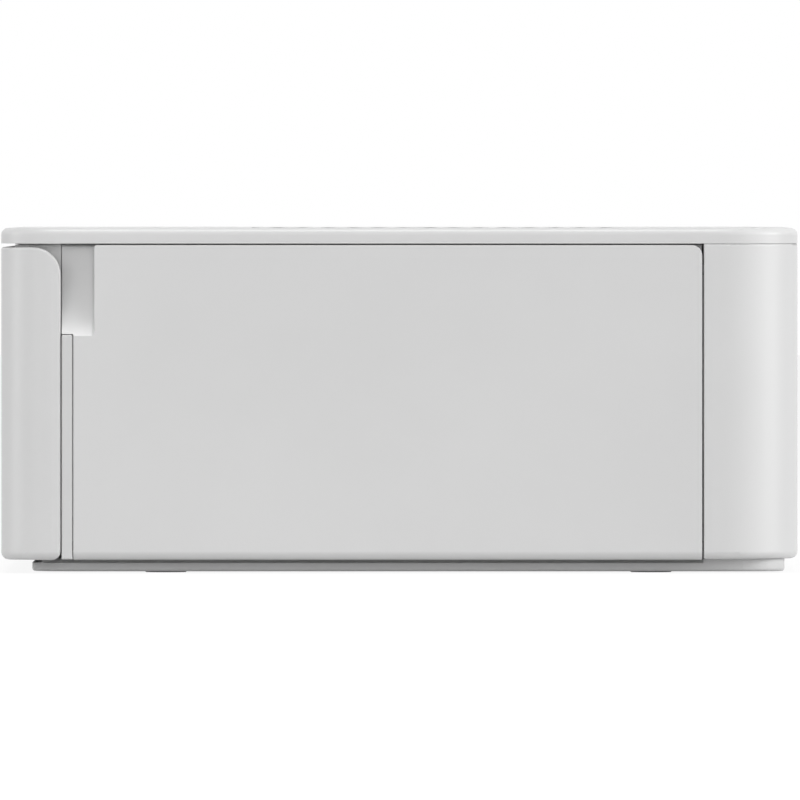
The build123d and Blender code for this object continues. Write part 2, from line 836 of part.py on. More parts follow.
with BuildPart() as finger_scoop:
    with BuildSketch(Plane.XZ.offset(-scoop_rear)):
        with BuildLine():
            floor_x = x_side - scoop_floor_depth
            rise = scoop_bend_z - scoop_lip_z
            bend_radius = (scoop_floor_depth**2 + rise**2) / (2 * scoop_floor_depth)
            full_turn = degrees(acos(1 - (outer_right - floor_x) / bend_radius))
            CenterArc((floor_x + bend_radius, scoop_bend_z), bend_radius, 180, full_turn)
            mouth_z = scoop_bend_z - bend_radius * sin(radians(full_turn))
            Polyline(
                (floor_x, scoop_bend_z),
                (floor_x, height),
                (outer_right, height),
                (outer_right, mouth_z),
            )
        make_face()
    extrude(amount=scoop_rear - outer_front)
    wall_edges = finger_scoop.faces().sort_by(Axis.Y)[-1].edges()
    floor_edges = wall_edges.filter_by(lambda e: (e @ 0.5).X < x_side and (e @ 0.5).Z < height - 0.01)
    fillet(floor_edges, scoop_floor_rounding)

with BuildPart() as ink_door:
    block(x_inside, x_side, door_front, door_rear, door_bottom, door_top)
    fillet(ink_door.edges().filter_by(Axis.Y).group_by(Axis.Z)[0].sort_by(Axis.X)[-1], door_roll)
    across = ink_door.edges().filter_by(Axis.X)
    fillet(across.group_by(Axis.Z)[-1].sort_by(Axis.Y)[-1], door_top_radius)
    block(scoop_backing_x, x_side, strip_front, scoop_block_rear, scoop_block_bottom, door_top)
    add(finger_scoop.part, mode=Mode.SUBTRACT)
    scoop_top = ink_door.edges().filter_by(Axis.X).group_by(Axis.Z)[-1]
    fillet(scoop_top.filter_by_position(Axis.Y, scoop_rear - 0.01, scoop_rear + 0.01), scoop_top_rounding)
    outer_face = ink_door.faces().filter_by(Axis.X).sort_by(Axis.X)[-1]
    fillet([e for e in outer_face.edges() if (e @ 0.5).Z > door_bottom + door_roll + 0.1], door_rounding)
    for lug_start, lug_end in door_lugs:
        rod_y(lug_start, lug_end, door_hinge_x, door_hinge_z, lug_radius)
        block(
            door_hinge_x,
            x_inside + 0.5,
            lug_start,
            lug_end,
            door_hinge_z - lug_radius,
            door_hinge_z + lug_radius,
        )
    for pin_start, pin_end in ((front_pin_tip, door_lugs[0][1]), (door_lugs[1][0], rear_pin_tip)):
        rod_y(pin_start, pin_end, door_hinge_x, door_hinge_z, hinge_pin_radius, Mode.SUBTRACT)
    block(
        x_inside - tab_reach,
        x_inside + 0.5,
        door_tab_y - tab_half,
        door_tab_y + tab_half,
        tab_z,
        tab_z + tab_thickness,
    )
finish(ink_door.part, "ink_door")

with BuildPart() as door_hinge_pins:
    rod_y(front_pin_tip, door_lugs[0][1], door_hinge_x, door_hinge_z, hinge_pin_radius)
    rod_y(door_lugs[1][0], rear_pin_tip, door_hinge_x, door_hinge_z, hinge_pin_radius)
finish(door_hinge_pins.part, "door_hinge_pins")

# ================================================================ inner frame
tab_slot_clear = 0.6
left_return_width = 5.8
left_return_rear = strip_front + 6.25

with BuildPart() as side_strip:
    block(scoop_backing_x, x_side, strip_front, strip_rear, front_cover_bottom + 0.1, strip_top)
    fillet(side_strip.edges().filter_by(Axis.X).group_by(Axis.Z)[-1], strip_corner)
    fillet(side_strip.faces().sort_by(Axis.X)[-1].edges(), strip_rounding)

with BuildPart() as inner_frame:
    ring_height = frame_top - frame_bottom
    extrude(plan_face(wall + fit_gap, frame_bottom), amount=ring_height)
    inner_ring = plan_face(wall + fit_gap + frame_skin, frame_bottom)
    extrude(inner_ring, amount=ring_height, mode=Mode.SUBTRACT)
    ring_inner_x = frame_side - frame_skin
    right_return_x = frame_side - left_return_width
    block(outer_left, right_return_x, left_return_rear, wall_out, 0, height, Mode.SUBTRACT)
    block(0, outer_right, shell_right_front - fit_gap, wall_out, 0, height, Mode.SUBTRACT)
    add(finger_scoop.part, mode=Mode.SUBTRACT)
    # room for the back of the door's scoop, and the strip level with the door's outer face
    notch_front = strip_front - door_side_gap
    notch_rear = scoop_block_rear + fit_gap
    notch_x = scoop_backing_x - fit_gap
    block(notch_x, outer_right, notch_front, notch_rear, strip_top, height, Mode.SUBTRACT)
    add(side_strip.part)
    # bearing hole for the front end of the door's hinge
    bore = hinge_pin_radius + running_gap
    rod_y(strip_front, strip_rear + cut_past, door_hinge_x, door_hinge_z, bore, Mode.SUBTRACT)
    # openings for the paper cassette and the ink cassette, and slots for the snap tabs
    fascia_rear = frame_front + frame_skin
    block(
        -front_opening_half,
        front_opening_half,
        outer_front,
        fascia_rear + cut_past,
        front_opening_bottom,
        front_opening_top,
        Mode.SUBTRACT,
    )
    block(
        ring_inner_x - cut_past,
        outer_right,
        ink_open_front,
        ink_open_rear,
        ink_open_bottom,
        ink_open_top,
        Mode.SUBTRACT,
    )
    for side in (-1, 1):
        block(
            side * front_tab_x - tab_half - tab_slot_clear,
            side * front_tab_x + tab_half + tab_slot_clear,
            outer_front,
            fascia_rear + cut_past,
            tab_z - tab_slot_clear,
            tab_z + tab_thickness + tab_slot_clear,
            Mode.SUBTRACT,
        )
        # ear of the front cover's hinge, on the post behind it
        ear_start = side * ear_x - ear_width / 2
        ear_end = side * ear_x + ear_width / 2
        rod_x(ear_start, ear_end, front_hinge_y, front_hinge_z, ear_radius)
        block(
            ear_start,
            ear_end,
            front_hinge_y,
            front_post_y,
            front_hinge_z - ear_radius,
            front_hinge_z + ear_radius,
        )
        rod_x(ear_start, ear_end, front_hinge_y, front_hinge_z, bore, Mode.SUBTRACT)
        block(ear_start, ear_end, fascia_rear - 0.5, front_post_y, frame_bottom, post_top)
    block(
        ring_inner_x - cut_past,
        outer_right,
        door_tab_y - tab_half - tab_slot_clear,
        door_tab_y + tab_half + tab_slot_clear,
        tab_z - tab_slot_clear,
        tab_z + tab_thickness + tab_slot_clear,
        Mode.SUBTRACT,
    )
    for post_x, post_y in frame_posts:
        rod_z(shell_bottom, post_top, post_x, post_y, frame_post_radius)
        if post_y > front_post_y:
            block(post_x, frame_side, post_y - 1, post_y + 1, frame_bottom + 0.1, post_top)
        rod_z(0, screw_tip + screw_end_gap, post_x, post_y, screw_shank_radius, Mode.SUBTRACT)
finish(inner_frame.part, "inner_frame")

bay_rib_inner = 20.0
bay_rib_inset = 6.0
with BuildPart() as cassette_bay:
    bay_side = front_opening_half + bay_wall
    front_rib = fascia_rear + 3
    floor_bottom = front_opening_bottom - bay_wall
    block(-bay_side, bay_side, fascia_rear, bay_rear, floor_bottom, front_opening_bottom)
    for side in (-1, 1):
        wall_start = side * front_opening_half
        wall_end = side * bay_side
        block(wall_start, wall_end, fascia_rear, bay_rear, floor_bottom, bay_low_top)
        block(wall_start, wall_end, fascia_rear, bay_high_rear, bay_low_top, front_opening_top)
        for rib_place in (side * bay_rib_inner, side * (front_opening_half - bay_rib_inset)):
            block(rib_place - 1, rib_place + 1, front_rib, bay_rear - 3, shell_bottom, floor_bottom)
    roof_top = front_opening_top + bay_wall
    block(-bay_side, bay_side, fascia_rear, bay_high_rear, front_opening_top, roof_top)
finish(cassette_bay.part, "cassette_bay")

liner_skin = 1.2
with BuildPart() as ink_bay_liner:
    block(
        plate_x,
        frame_side - frame_skin,
        ink_open_front - liner_skin,
        ink_open_rear + liner_skin,
        ink_open_bottom - liner_skin,
        ink_open_top + liner_skin,
    )
    block(
        plate_x - 1,
        frame_side,
        ink_open_front,
        ink_open_rear,
        ink_open_bottom,
        ink_open_top,
        Mode.SUBTRACT,
    )
finish(ink_bay_liner.part, "ink_bay_liner")

# ================================================================ chassis
free_gap = 0.05
hub_radius = 2.5
compound_hub_radius = 3.0

with BuildPart() as frame_plate_left:
    block(-plate_x, -inner_x, plate_front, plate_rear, shell_bottom, plate_top)
    for centre in (capstan_centre, platen_centre):
        rod_x(-plate_x - 1, -inner_x + 1, centre[0], centre[1], bush_radius, Mode.SUBTRACT)
    for centre, radius in (
        (pickup_centre, pickup_journal + free_gap),
        ((capstan_y, pinch_z), pinch_journal + free_gap),
        (takeup_centre, hub_radius + free_gap),
        (supply_centre, hub_radius + free_gap),
        ((arm_pivot_y, arm_pivot_z), arm_pivot_radius),
        (idler_centre, axle_radius),
        (compound_centre, axle_radius),
    ):
        rod_x(-plate_x - 1, -inner_x + 1, centre[0], centre[1], radius, Mode.SUBTRACT)
finish(frame_plate_left.part, "frame_plate_left")

with BuildPart() as frame_plate_right:
    block(inner_x, plate_x, plate_front, plate_rear, shell_bottom, plate_top)
    block(
        inner_x - 1,
        plate_x + 1,
        ink_open_front,
        ink_open_rear,
        ink_open_bottom,
        ink_open_top,
        Mode.SUBTRACT,
    )
    for centre in (capstan_centre, platen_centre):
        rod_x(inner_x - 1, plate_x + 1, centre[0], centre[1], bush_radius, Mode.SUBTRACT)
    for centre, radius in (
        (pickup_centre, pickup_journal + free_gap),
        ((capstan_y, pinch_z), pinch_journal + free_gap),
        ((arm_pivot_y, arm_pivot_z), arm_pivot_radius),
    ):
        rod_x(inner_x - 1, plate_x + 1, centre[0], centre[1], radius, Mode.SUBTRACT)
finish(frame_plate_right.part, "frame_plate_right")

crossbar_skin = 1.2
bar_flange = 4.0
front_bar_y = capstan_y - 5.0
front_bar_bottom = plate_top - 11.5
rear_bar_y = plate_rear - 2.5
rear_bar_bottom = slot_top + 2.4
with BuildPart() as frame_crossbars:
    for bar_y, bar_bottom in ((front_bar_y, front_bar_bottom), (rear_bar_y, rear_bar_bottom)):
        block(-inner_x, inner_x, bar_y, bar_y + crossbar_skin, bar_bottom, plate_top)
        block(-inner_x, inner_x, bar_y - bar_flange, bar_y, plate_top - crossbar_skin, plate_top)
finish(frame_crossbars.part, "frame_crossbars")

with BuildPart() as shaft_bushes:
    for side in (-1, 1):
        bush_inner = side * (plate_x + 0.7 - bush_length)
        bush_outer = side * (plate_x + 0.7)
        for centre, journal in ((capstan_centre, capstan_journal), (platen_centre, platen_journal)):
            rod_x(bush_inner, bush_outer, centre[0], centre[1], bush_radius)
            bore = journal + running_gap
            rod_x(bush_inner, bush_outer, centre[0], centre[1], bore, Mode.SUBTRACT)
finish(shaft_bushes.part, "shaft_bushes")

shaft_right_x = plate_x + 1.5
with BuildPart() as capstan_roller:
    rod_x(-roller_half, roller_half, capstan_y, capstan_z, capstan_radius)
    rod_x(gear_outer_x, shaft_right_x, capstan_y, capstan_z, capstan_journal)
finish(capstan_roller.part, "capstan_roller")

with BuildPart() as capstan_gear:
    gear_x(gear_outer_x, gear_inner_x, capstan_centre, capstan_teeth, capstan_phase)
    rod_x(gear_outer_x, gear_inner_x, capstan_y, capstan_z, capstan_journal, Mode.SUBTRACT)
finish(capstan_gear.part, "capstan_gear")

with BuildPart() as platen_shaft:
    rod_x(-roller_half, roller_half, platen_y, platen_z, platen_core)
    rod_x(gear_outer_x, shaft_right_x, platen_y, platen_z, platen_journal)
finish(platen_shaft.part, "platen_shaft")

with BuildPart() as platen_rubber:
    rod_x(-roller_half, roller_half, platen_y, platen_z, platen_radius)
    rod_x(-roller_half, roller_half, platen_y, platen_z, platen_core, Mode.SUBTRACT)
finish(platen_rubber.part, "platen_rubber")

with BuildPart() as platen_gear:
    gear_x(gear_outer_x, gear_inner_x, platen_centre, platen_teeth, platen_phase)
    rod_x(gear_outer_x, gear_inner_x, platen_y, platen_z, platen_journal, Mode.SUBTRACT)
finish(platen_gear.part, "platen_gear")

with BuildPart() as idler_gear:
    gear_x(gear_outer_x, gear_inner_x, idler_centre, idler_teeth, idler_phase)
    bore = axle_radius + running_gap
    rod_x(gear_outer_x, gear_inner_x, idler_centre[0], idler_centre[1], bore, Mode.SUBTRACT)
finish(idler_gear.part, "idler_gear")

with BuildPart() as compound_gear:
    gear_x(second_outer_x, second_inner_x, compound_centre, large_teeth, 0.0)
    gear_x(gear_outer_x, gear_inner_x, compound_centre, small_teeth, small_phase)
    rod_x(second_inner_x, gear_outer_x, compound_centre[0], compound_centre[1], compound_hub_radius)
    bore = axle_radius + running_gap
    rod_x(second_outer_x, gear_inner_x, compound_centre[0], compound_centre[1], bore, Mode.SUBTRACT)
finish(compound_gear.part, "compound_gear")

with BuildPart() as fixed_shafts:
    rod_x(gear_outer_x - 0.4, -inner_x, idler_centre[0], idler_centre[1], axle_radius)
    rod_x(bracket_x, -inner_x, compound_centre[0], compound_centre[1], axle_radius)
    rod_x(-plate_x - 0.5, plate_x, arm_pivot_y, arm_pivot_z, arm_pivot_radius)
finish(fixed_shafts.part, "fixed_shafts")

bracket_front = capstan_y - 19.0
bracket_rear = platen_y + 2.0
bracket_bottom = 11.0
bracket_post_inset = 4.0
bracket_post_top_z = plate_top - bracket_post_inset
bracket_posts = [
    (bracket_front + bracket_post_inset, bracket_bottom + bracket_post_inset),
    (bracket_front + bracket_post_inset, bracket_post_top_z),
    (bracket_rear - bracket_post_inset, bracket_post_top_z),
]
bracket_post_radius = 2.0
motor_hole_radius = 3.0
with BuildPart() as motor_bracket:
    bracket_face_x = bracket_x + bracket_skin
    block(bracket_x, bracket_face_x, bracket_front, bracket_rear, bracket_bottom, plate_top)
    for post_y, post_z in bracket_posts:
        rod_x(bracket_x, -plate_x, post_y, post_z, bracket_post_radius)
    for centre in (feed_centre, ribbon_centre):
        rod_x(bracket_x, bracket_face_x, centre[0], centre[1], motor_hole_radius, Mode.SUBTRACT)
    rod_x(bracket_x, bracket_face_x, compound_centre[0], compound_centre[1], axle_radius, Mode.SUBTRACT)
finish(motor_bracket.part, "motor_bracket")

shaft_back_x = bracket_x - 4.0
shaft_front_x = shaft_back_x + 0.3
motor_rounding = 1.0
with BuildPart() as drive_motors:
    for centre, radius in ((feed_centre, feed_motor_radius), (ribbon_centre, ribbon_motor_radius)):
        rod_x(motor_outer_x, bracket_x, centre[0], centre[1], radius)
    fillet(drive_motors.edges().group_by(Axis.X)[0], motor_rounding)
    bore = motor_shaft_radius + running_gap
    for centre in (feed_centre, ribbon_centre):
        rod_x(shaft_back_x, bracket_x, centre[0], centre[1], bore, Mode.SUBTRACT)
finish(drive_motors.part, "drive_motors")

with BuildPart() as feed_pinion:
    gear_x(second_outer_x, second_inner_x, feed_centre, pinion_teeth, feed_phase)
    rod_x(shaft_front_x, second_outer_x, feed_centre[0], feed_centre[1], motor_shaft_radius)
finish(feed_pinion.part, "feed_pinion")

with BuildPart() as ribbon_pinion:
    gear_x(gear_outer_x, gear_inner_x, ribbon_centre, pinion_teeth, ribbon_phase)
    rod_x(shaft_front_x, gear_outer_x, ribbon_centre[0], ribbon_centre[1], motor_shaft_radius)
finish(ribbon_pinion.part, "ribbon_pinion")

with BuildPart() as pinch_roller:
    rod_x(-roller_half + 2, roller_half - 2, capstan_y, pinch_z, pinch_radius)
    rod_x(-plate_x, plate_x, capstan_y, pinch_z, pinch_journal)
finish(pinch_roller.part, "pinch_roller")

with BuildPart() as pickup_shaft:
    rod_x(gear_inner_x, plate_x, pickup_centre[0], pickup_centre[1], pickup_journal)
    gear_x(gear_outer_x, gear_inner_x, pickup_centre, pickup_teeth, pickup_phase)
finish(pickup_shaft.part, "pickup_shaft")

tyre_inner = 8.0
tyre_outer = 20.0
with BuildPart() as pickup_tyres:
    for side in (-1, 1):
        rod_x(side * tyre_inner, side * tyre_outer, pickup_centre[0], pickup_centre[1], pickup_radius)
    rod_x(-tyre_outer, tyre_outer, pickup_centre[0], pickup_centre[1], pickup_journal, Mode.SUBTRACT)
finish(pickup_tyres.part, "pickup_tyres")

guide_skin = 1.4
guide_gap = 0.6
guide_top = paper_z - 0.5
rear_guide_top = slot_bottom + 0.4
rear_guide_end = y_rear - 4.5
with BuildPart() as paper_guides:
    guide_front = capstan_y + capstan_radius + guide_gap
    guide_rear = platen_y - platen_radius - guide_gap
    block(-inner_x, inner_x, guide_front, guide_rear, guide_top - guide_skin, guide_top)
    rear_start = platen_y + platen_radius + guide_gap
    rear_guide_bottom = rear_guide_top - guide_skin
    block(-inner_x, inner_x, rear_start, rear_guide_end, rear_guide_bottom, rear_guide_top)
finish(paper_guides.part, "paper_guides")

# ================================================================ ink cassette
grip_length = 12.0
grip_reach = 6.0
grip_skin = 3.5
grip_bottom = (case_cap_top + ink_open_bottom - grip_skin) / 2
roll_flange = 1.5
cap_skin = 2.0
with BuildPart() as ink_cassette_case:
    tube_right_x = case_cap_inner_x
    for centre, radius in ((takeup_centre, takeup_case_radius), (supply_centre, supply_case_radius)):
        rod_x(case_left_x, tube_right_x, centre[0], centre[1], radius)
    for centre, radius in ((takeup_centre, takeup_case_radius), (supply_centre, supply_case_radius)):
        inside = (case_left_x + case_end_skin, tube_right_x - case_end_skin)
        rod_x(inside[0], inside[1], centre[0], centre[1], radius - case_skin, Mode.SUBTRACT)
    # windows that let the ribbon out of both tubes
    window_bottom = paper_z - 2.5
    for y0, y1, z1 in (
        (takeup_y + 2, takeup_y + takeup_case_radius + 1.4, takeup_z - 3),
        (supply_y - supply_case_radius - 1, supply_y - 2.5, supply_z - 6),
    ):
        block(inside[0], inside[1], y0, y1, window_bottom, z1, Mode.SUBTRACT)
    # end walls that join the tubes, and the thick cap at the door side
    case_front = takeup_y - takeup_case_radius
    case_rear = supply_y + supply_case_radius
    case_bottom = ink_open_bottom + fit_gap
    end_bottom = paper_z + 3.5
    block(case_left_x, inside[0], takeup_y, supply_y, end_bottom, arm_pivot_z - 4)
    block(tube_right_x, case_right_x, case_front, case_rear, case_bottom, case_cap_top)
    grip_front = (case_front + case_rear - grip_length) / 2
    grip_end_x = case_right_x + grip_reach
    grip_top = grip_bottom + grip_skin
    block(case_right_x, grip_end_x, grip_front, grip_front + grip_length, grip_bottom, grip_top)
    for centre in (takeup_centre, supply_centre):
        bore = spool_journal + running_gap
        rod_x(case_left_x - 1, inside[0] + 1, centre[0], centre[1], bore, Mode.SUBTRACT)
        rod_x(inside[1] - 1, case_right_x - cap_skin, centre[0], centre[1], bore, Mode.SUBTRACT)
finish(ink_cassette_case.part, "ink_cassette_case")

spool_right_x = case_right_x - cap_skin - 0.4
spool_left_x = case_left_x + fit_gap
with BuildPart() as takeup_spool:
    rod_x(-roll_half - roll_flange, roll_half + roll_flange, takeup_y, takeup_z, takeup_core_radius)
    rod_x(spool_left_x, spool_right_x, takeup_y, takeup_z, spool_journal)
finish(takeup_spool.part, "takeup_spool")

with BuildPart() as takeup_ribbon:
    rod_x(-roll_half, roll_half, takeup_y, takeup_z, takeup_roll_radius)
    rod_x(-roll_half, roll_half, takeup_y, takeup_z, takeup_core_radius, Mode.SUBTRACT)
finish(takeup_ribbon.part, "takeup_ribbon")

with BuildPart() as supply_spool:
    rod_x(-roll_half - roll_flange, roll_half + roll_flange, supply_y, supply_z, supply_core_radius)
    rod_x(-plate_x, spool_right_x, supply_y, supply_z, spool_journal)
finish(supply_spool.part, "supply_spool")

with BuildPart() as supply_ribbon:
    rod_x(-roll_half, roll_half, supply_y, supply_z, supply_roll_radius)
    rod_x(-roll_half, roll_half, supply_y, supply_z, supply_core_radius, Mode.SUBTRACT)
finish(supply_ribbon.part, "supply_ribbon")

with BuildPart() as takeup_gear:
    gear_x(gear_outer_x, gear_inner_x, takeup_centre, takeup_teeth, 0.0)
    rod_x(gear_inner_x, spool_left_x, takeup_y, takeup_z, hub_radius)
finish(takeup_gear.part, "takeup_gear")

web_skin = 0.1
web_low = paper_z + 0.2
web_front = head_front - 1.0
web_rear = head_rear + 1.5
takeup_leave = at_angle(takeup_centre, takeup_roll_radius + 0.41, -58.6)
supply_leave = at_angle(supply_centre, supply_roll_radius + 0.48, -121.8)
with BuildPart() as ribbon_web:
    with BuildSketch(side_plane(-roll_half)):
        with BuildLine():
            Polyline(
                takeup_leave,
                (web_front, web_low),
                (web_rear, web_low),
                supply_leave,
                (supply_leave[0] - web_skin, supply_leave[1] + web_skin),
                (web_rear, web_low + web_skin),
                (web_front, web_low + web_skin),
                (takeup_leave[0] + web_skin, takeup_leave[1] + web_skin),
                close=True,
            )
        make_face()
    extrude(amount=2 * roll_half)
finish(ribbon_web.part, "ribbon_web")

# ================================================================ print head
arm_ear_skin = 2.0
arm_eye_radius = 2.7
with BuildPart() as head_arm:
    arm_front = arm_pivot_y + arm_pivot_radius + 1
    arm_rear = head_rear + 1
    arm_inner = arm_half - arm_ear_skin
    arm_top = arm_pivot_z + arm_skin
    block(-arm_inner, arm_inner, arm_front, arm_rear, arm_pivot_z, arm_top)
    for side in (-1, 1):
        ear_inner = side * arm_inner
        ear_outer = side * arm_half
        rod_x(ear_inner, ear_outer, arm_pivot_y, arm_pivot_z, arm_eye_radius)
        block(ear_inner, ear_outer, arm_pivot_y, arm_rear, arm_pivot_z - arm_skin, arm_top)
    bore = arm_pivot_radius + running_gap
    rod_x(-arm_half, arm_half, arm_pivot_y, arm_pivot_z, bore, Mode.SUBTRACT)
finish(head_arm.part, "head_arm")

groove_count = 3
groove_width = 1.2
groove_pitch = 4.0
groove_depth = 3.0
groove_first_z = ceramic_top + 5.7
with BuildPart() as head_heatsink:
    half_sink = arm_inner
    block(-half_sink, half_sink, head_front, head_rear, ceramic_top, arm_pivot_z)
    for groove in range(groove_count):
        groove_z = groove_first_z + groove_pitch * groove
        block(
            -half_sink,
            half_sink,
            head_front,
            head_front + groove_depth,
            groove_z,
            groove_z + groove_width,
            Mode.SUBTRACT,
        )
finish(head_heatsink.part, "head_heatsink")

with BuildPart() as head_ceramic:
    block(-half_sink, half_sink, head_front + 1, head_rear - 1, head_bottom, ceramic_top)
finish(head_ceramic.part, "head_ceramic")

# ================================================================ electronics
stand_radius = 2.0
stand_columns = (-(x_inside - flange_width) + 2.6, main_board_inner_x - 4.5)
stand_rows = (main_board_front + 6.0, main_board_rear - 14.0)
chip_front = main_board_rear - 42.0
inlet_left = inlet_x - 6.0
inlet_right = inlet_x + 5.0
with BuildPart() as main_board:
    block(
        main_board_outer_x,
        main_board_inner_x,
        main_board_front,
        main_board_rear,
        main_board_z,
        main_board_top,
    )
    for stand_x in stand_columns:
        for stand_y in stand_rows:
            rod_z(shell_bottom, main_board_z, stand_x, stand_y, stand_radius)
    chip_left = main_board_outer_x + 4
    block(chip_left, stand_columns[1], chip_front, chip_front + 14, main_board_top, main_board_top + 1.5)
    coil_top = main_board_top + 6
    block(chip_left, chip_left + 6, chip_front + 20, chip_front + 26, main_board_top, coil_top)
    # tongue under the inlet
    tongue_rear = y_rear - wall - 1
    block(inlet_left, inlet_right, main_board_rear, tongue_rear, main_board_z, main_board_top)
finish(main_board.part, "main_board")

with BuildPart() as card_reader:
    reader_inner_x = main_board_inner_x + 1.5
    block(-x_inside, reader_inner_x, reader_front, reader_rear, main_board_top, reader_top)
    slot_low = main_board_top + 0.3
    block(
        -x_inside - cut_past,
        reader_inner_x - 4,
        reader_front + reader_wall,
        reader_rear - reader_wall,
        slot_low,
        slot_low + reader_slot_height,
        Mode.SUBTRACT,
    )
finish(card_reader.part, "card_reader")

socket_depth = 8.2
socket_corner = 1.2
socket_skin = 0.4
tongue_skin = 0.7
with BuildPart() as usb_socket:
    socket_front = socket_y - socket_length / 2
    socket_rear = socket_y + socket_length / 2
    socket_mouth_x = -x_inside - 0.6
    socket_end_x = socket_mouth_x + socket_depth
    socket_floor_x = socket_end_x - 1.5
    block(socket_mouth_x, socket_end_x, socket_front, socket_rear, main_board_top, socket_top)
    fillet(usb_socket.edges().filter_by(Axis.X), socket_corner)
    block(
        socket_mouth_x - cut_past,
        socket_floor_x,
        socket_front + socket_skin,
        socket_rear - socket_skin,
        main_board_top + socket_skin,
        socket_top - socket_skin,
        Mode.SUBTRACT,
    )
    tongue_z = (main_board_top + socket_top) / 2
    tongue_low = tongue_z - tongue_skin / 2
    tongue_high = tongue_z + tongue_skin / 2
    tongue_inset = 3 * socket_skin
    block(
        socket_mouth_x + 1.2,
        socket_floor_x,
        socket_front + tongue_inset,
        socket_rear - tongue_inset,
        tongue_low,
        tongue_high,
    )
finish(usb_socket.part, "usb_socket")

inlet_bore = 2.75
inlet_pin = 0.8
with BuildPart() as dc_inlet:
    inlet_front = main_board_rear + 0.6
    inlet_floor = inlet_front + 1.5
    block(inlet_left, inlet_right, inlet_front, y_rear - wall, main_board_top, inlet_z + 5)
    rod_y(y_rear - wall, y_rear - 0.3, inlet_x, inlet_z, inlet_nose_radius)
    rod_y(inlet_floor, y_rear, inlet_x, inlet_z, inlet_bore, Mode.SUBTRACT)
    rod_y(inlet_floor - 1, y_rear - 1.5, inlet_x, inlet_z, inlet_pin)
finish(dc_inlet.part, "dc_inlet")

cable_skin = 0.3
cable_rear = board_rear - 3.0
cable_front = cable_rear - 12.0
cable_x = main_board_inner_x - 3.0
cable_end_x = board_left + 5.0
with BuildPart() as flat_cable:
    block(
        cable_x - cable_skin, cable_end_x, cable_front, cable_rear, board_bottom - cable_skin, board_bottom
    )
    block(
        cable_x - cable_skin, cable_x, cable_front, cable_rear, main_board_top, board_bottom - cable_skin
    )
finish(flat_cable.part, "flat_cable")
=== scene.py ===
import json
import math

import bmesh
import bpy
from mathutils import Matrix, Vector


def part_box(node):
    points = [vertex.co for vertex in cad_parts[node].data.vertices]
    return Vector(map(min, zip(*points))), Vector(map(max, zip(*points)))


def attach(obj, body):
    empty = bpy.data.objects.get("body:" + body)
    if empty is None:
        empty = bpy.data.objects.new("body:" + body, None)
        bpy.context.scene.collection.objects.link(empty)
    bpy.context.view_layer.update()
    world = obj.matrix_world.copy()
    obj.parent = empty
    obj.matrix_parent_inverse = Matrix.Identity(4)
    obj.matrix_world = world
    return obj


# A compact white photo printer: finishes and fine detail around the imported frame.
# Metres, +Z up, front towards -Y, ink door on +X, floor at z = 0.
# The new pieces are shaped in millimetres and then scaled to metres.

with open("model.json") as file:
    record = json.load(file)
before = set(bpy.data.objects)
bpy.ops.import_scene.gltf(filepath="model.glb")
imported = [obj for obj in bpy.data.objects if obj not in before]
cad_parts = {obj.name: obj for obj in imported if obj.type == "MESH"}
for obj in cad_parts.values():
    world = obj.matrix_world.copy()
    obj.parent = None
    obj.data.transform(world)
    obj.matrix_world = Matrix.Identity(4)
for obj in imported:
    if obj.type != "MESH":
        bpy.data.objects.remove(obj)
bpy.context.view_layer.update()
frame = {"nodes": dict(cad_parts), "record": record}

MM = 0.001
nodes = frame["nodes"]
record = frame["record"]
body_of = {
    node: body
    for body, members in record["behaviour"]["bodies"].items()
    for node in members
}
slot_of = {part["node"]: part["material_slot"] for part in record["subparts"]}


# ---------------------------------------------------------------- camera
def place_camera():
    """A long lens at the height of the top seam, looking at the side with the ink door."""
    lens = 1400.0
    film = 36.0
    picture_width = 133.33 * MM
    aim = Vector((91.1 * MM, 0.07 * MM, 28.92 * MM))
    eye_height = 63.0 * MM
    distance = picture_width * lens / film
    tilt = math.atan2(eye_height - aim.z, distance)
    camera = bpy.data.objects.new("camera", bpy.data.cameras.new("camera"))
    camera.data.lens = lens
    camera.data.sensor_width = film
    camera.data.clip_start = 0.1
    camera.data.clip_end = 30.0
    camera.location = (aim.x + distance, aim.y, eye_height)
    camera.rotation_euler = (math.pi / 2 - tilt, 0, math.pi / 2)
    bpy.context.scene.collection.objects.link(camera)
    bpy.context.scene.camera = camera


place_camera()
bpy.context.scene.view_settings.view_transform = "Standard"


# ---------------------------------------------------------------- node helpers
def grey(level):
    """The linear value of a channel given as 0 to 255."""
    share = level / 255
    return ((share + 0.055) / 1.055) ** 2.4 if share > 0.04045 else share / 12.92


def tone(red, green, blue):
    """A linear colour from red, green and blue of 0 to 255."""
    return (grey(red), grey(green), grey(blue), 1.0)


def place(tree, kind, inputs=(), **settings):
    """Adds a node, sets its properties, then gives each named input a value or a link."""
    made = tree.nodes.new("ShaderNode" + kind)
    for name, value in settings.items():
        setattr(made, name, value)
    for name, value in dict(inputs).items():
        if isinstance(value, bpy.types.NodeSocket):
            tree.links.new(value, made.inputs[name])
        else:
            made.inputs[name].default_value = value
    return made


def feed(tree, node, sources):
    """Links each named input of a node to its source."""
    for name, source in sources.items():
        tree.links.new(source, node.inputs[name])


def calc(tree, operation, *values, clamp=False):
    """The result of a Math node on one to three values or sockets."""
    made = place(tree, "Math", dict(enumerate(values)), operation=operation, use_clamp=clamp)
    return made.outputs[0]


def spread(tree, value, low, high, out_low=0.0, out_high=1.0, smooth=False):
    """Maps the range low..high of a value, which may run downwards, onto out_low..out_high."""
    kind = "SMOOTHSTEP" if smooth else "LINEAR"
    ends = {"Value": value, "From Min": low, "From Max": high, "To Min": out_low, "To Max": out_high}
    return place(tree, "MapRange", ends, interpolation_type=kind).outputs[0]


def mix_tones(tree, mask, first, second):
    """The colour between two tones that a mask picks."""
    made = place(tree, "Mix", {0: mask, 6: first, 7: second}, data_type="RGBA")
    return made.outputs[2]


def spot(tree):
    """Where a point lies on its piece, in metres."""
    return place(tree, "TexCoord").outputs["Object"]


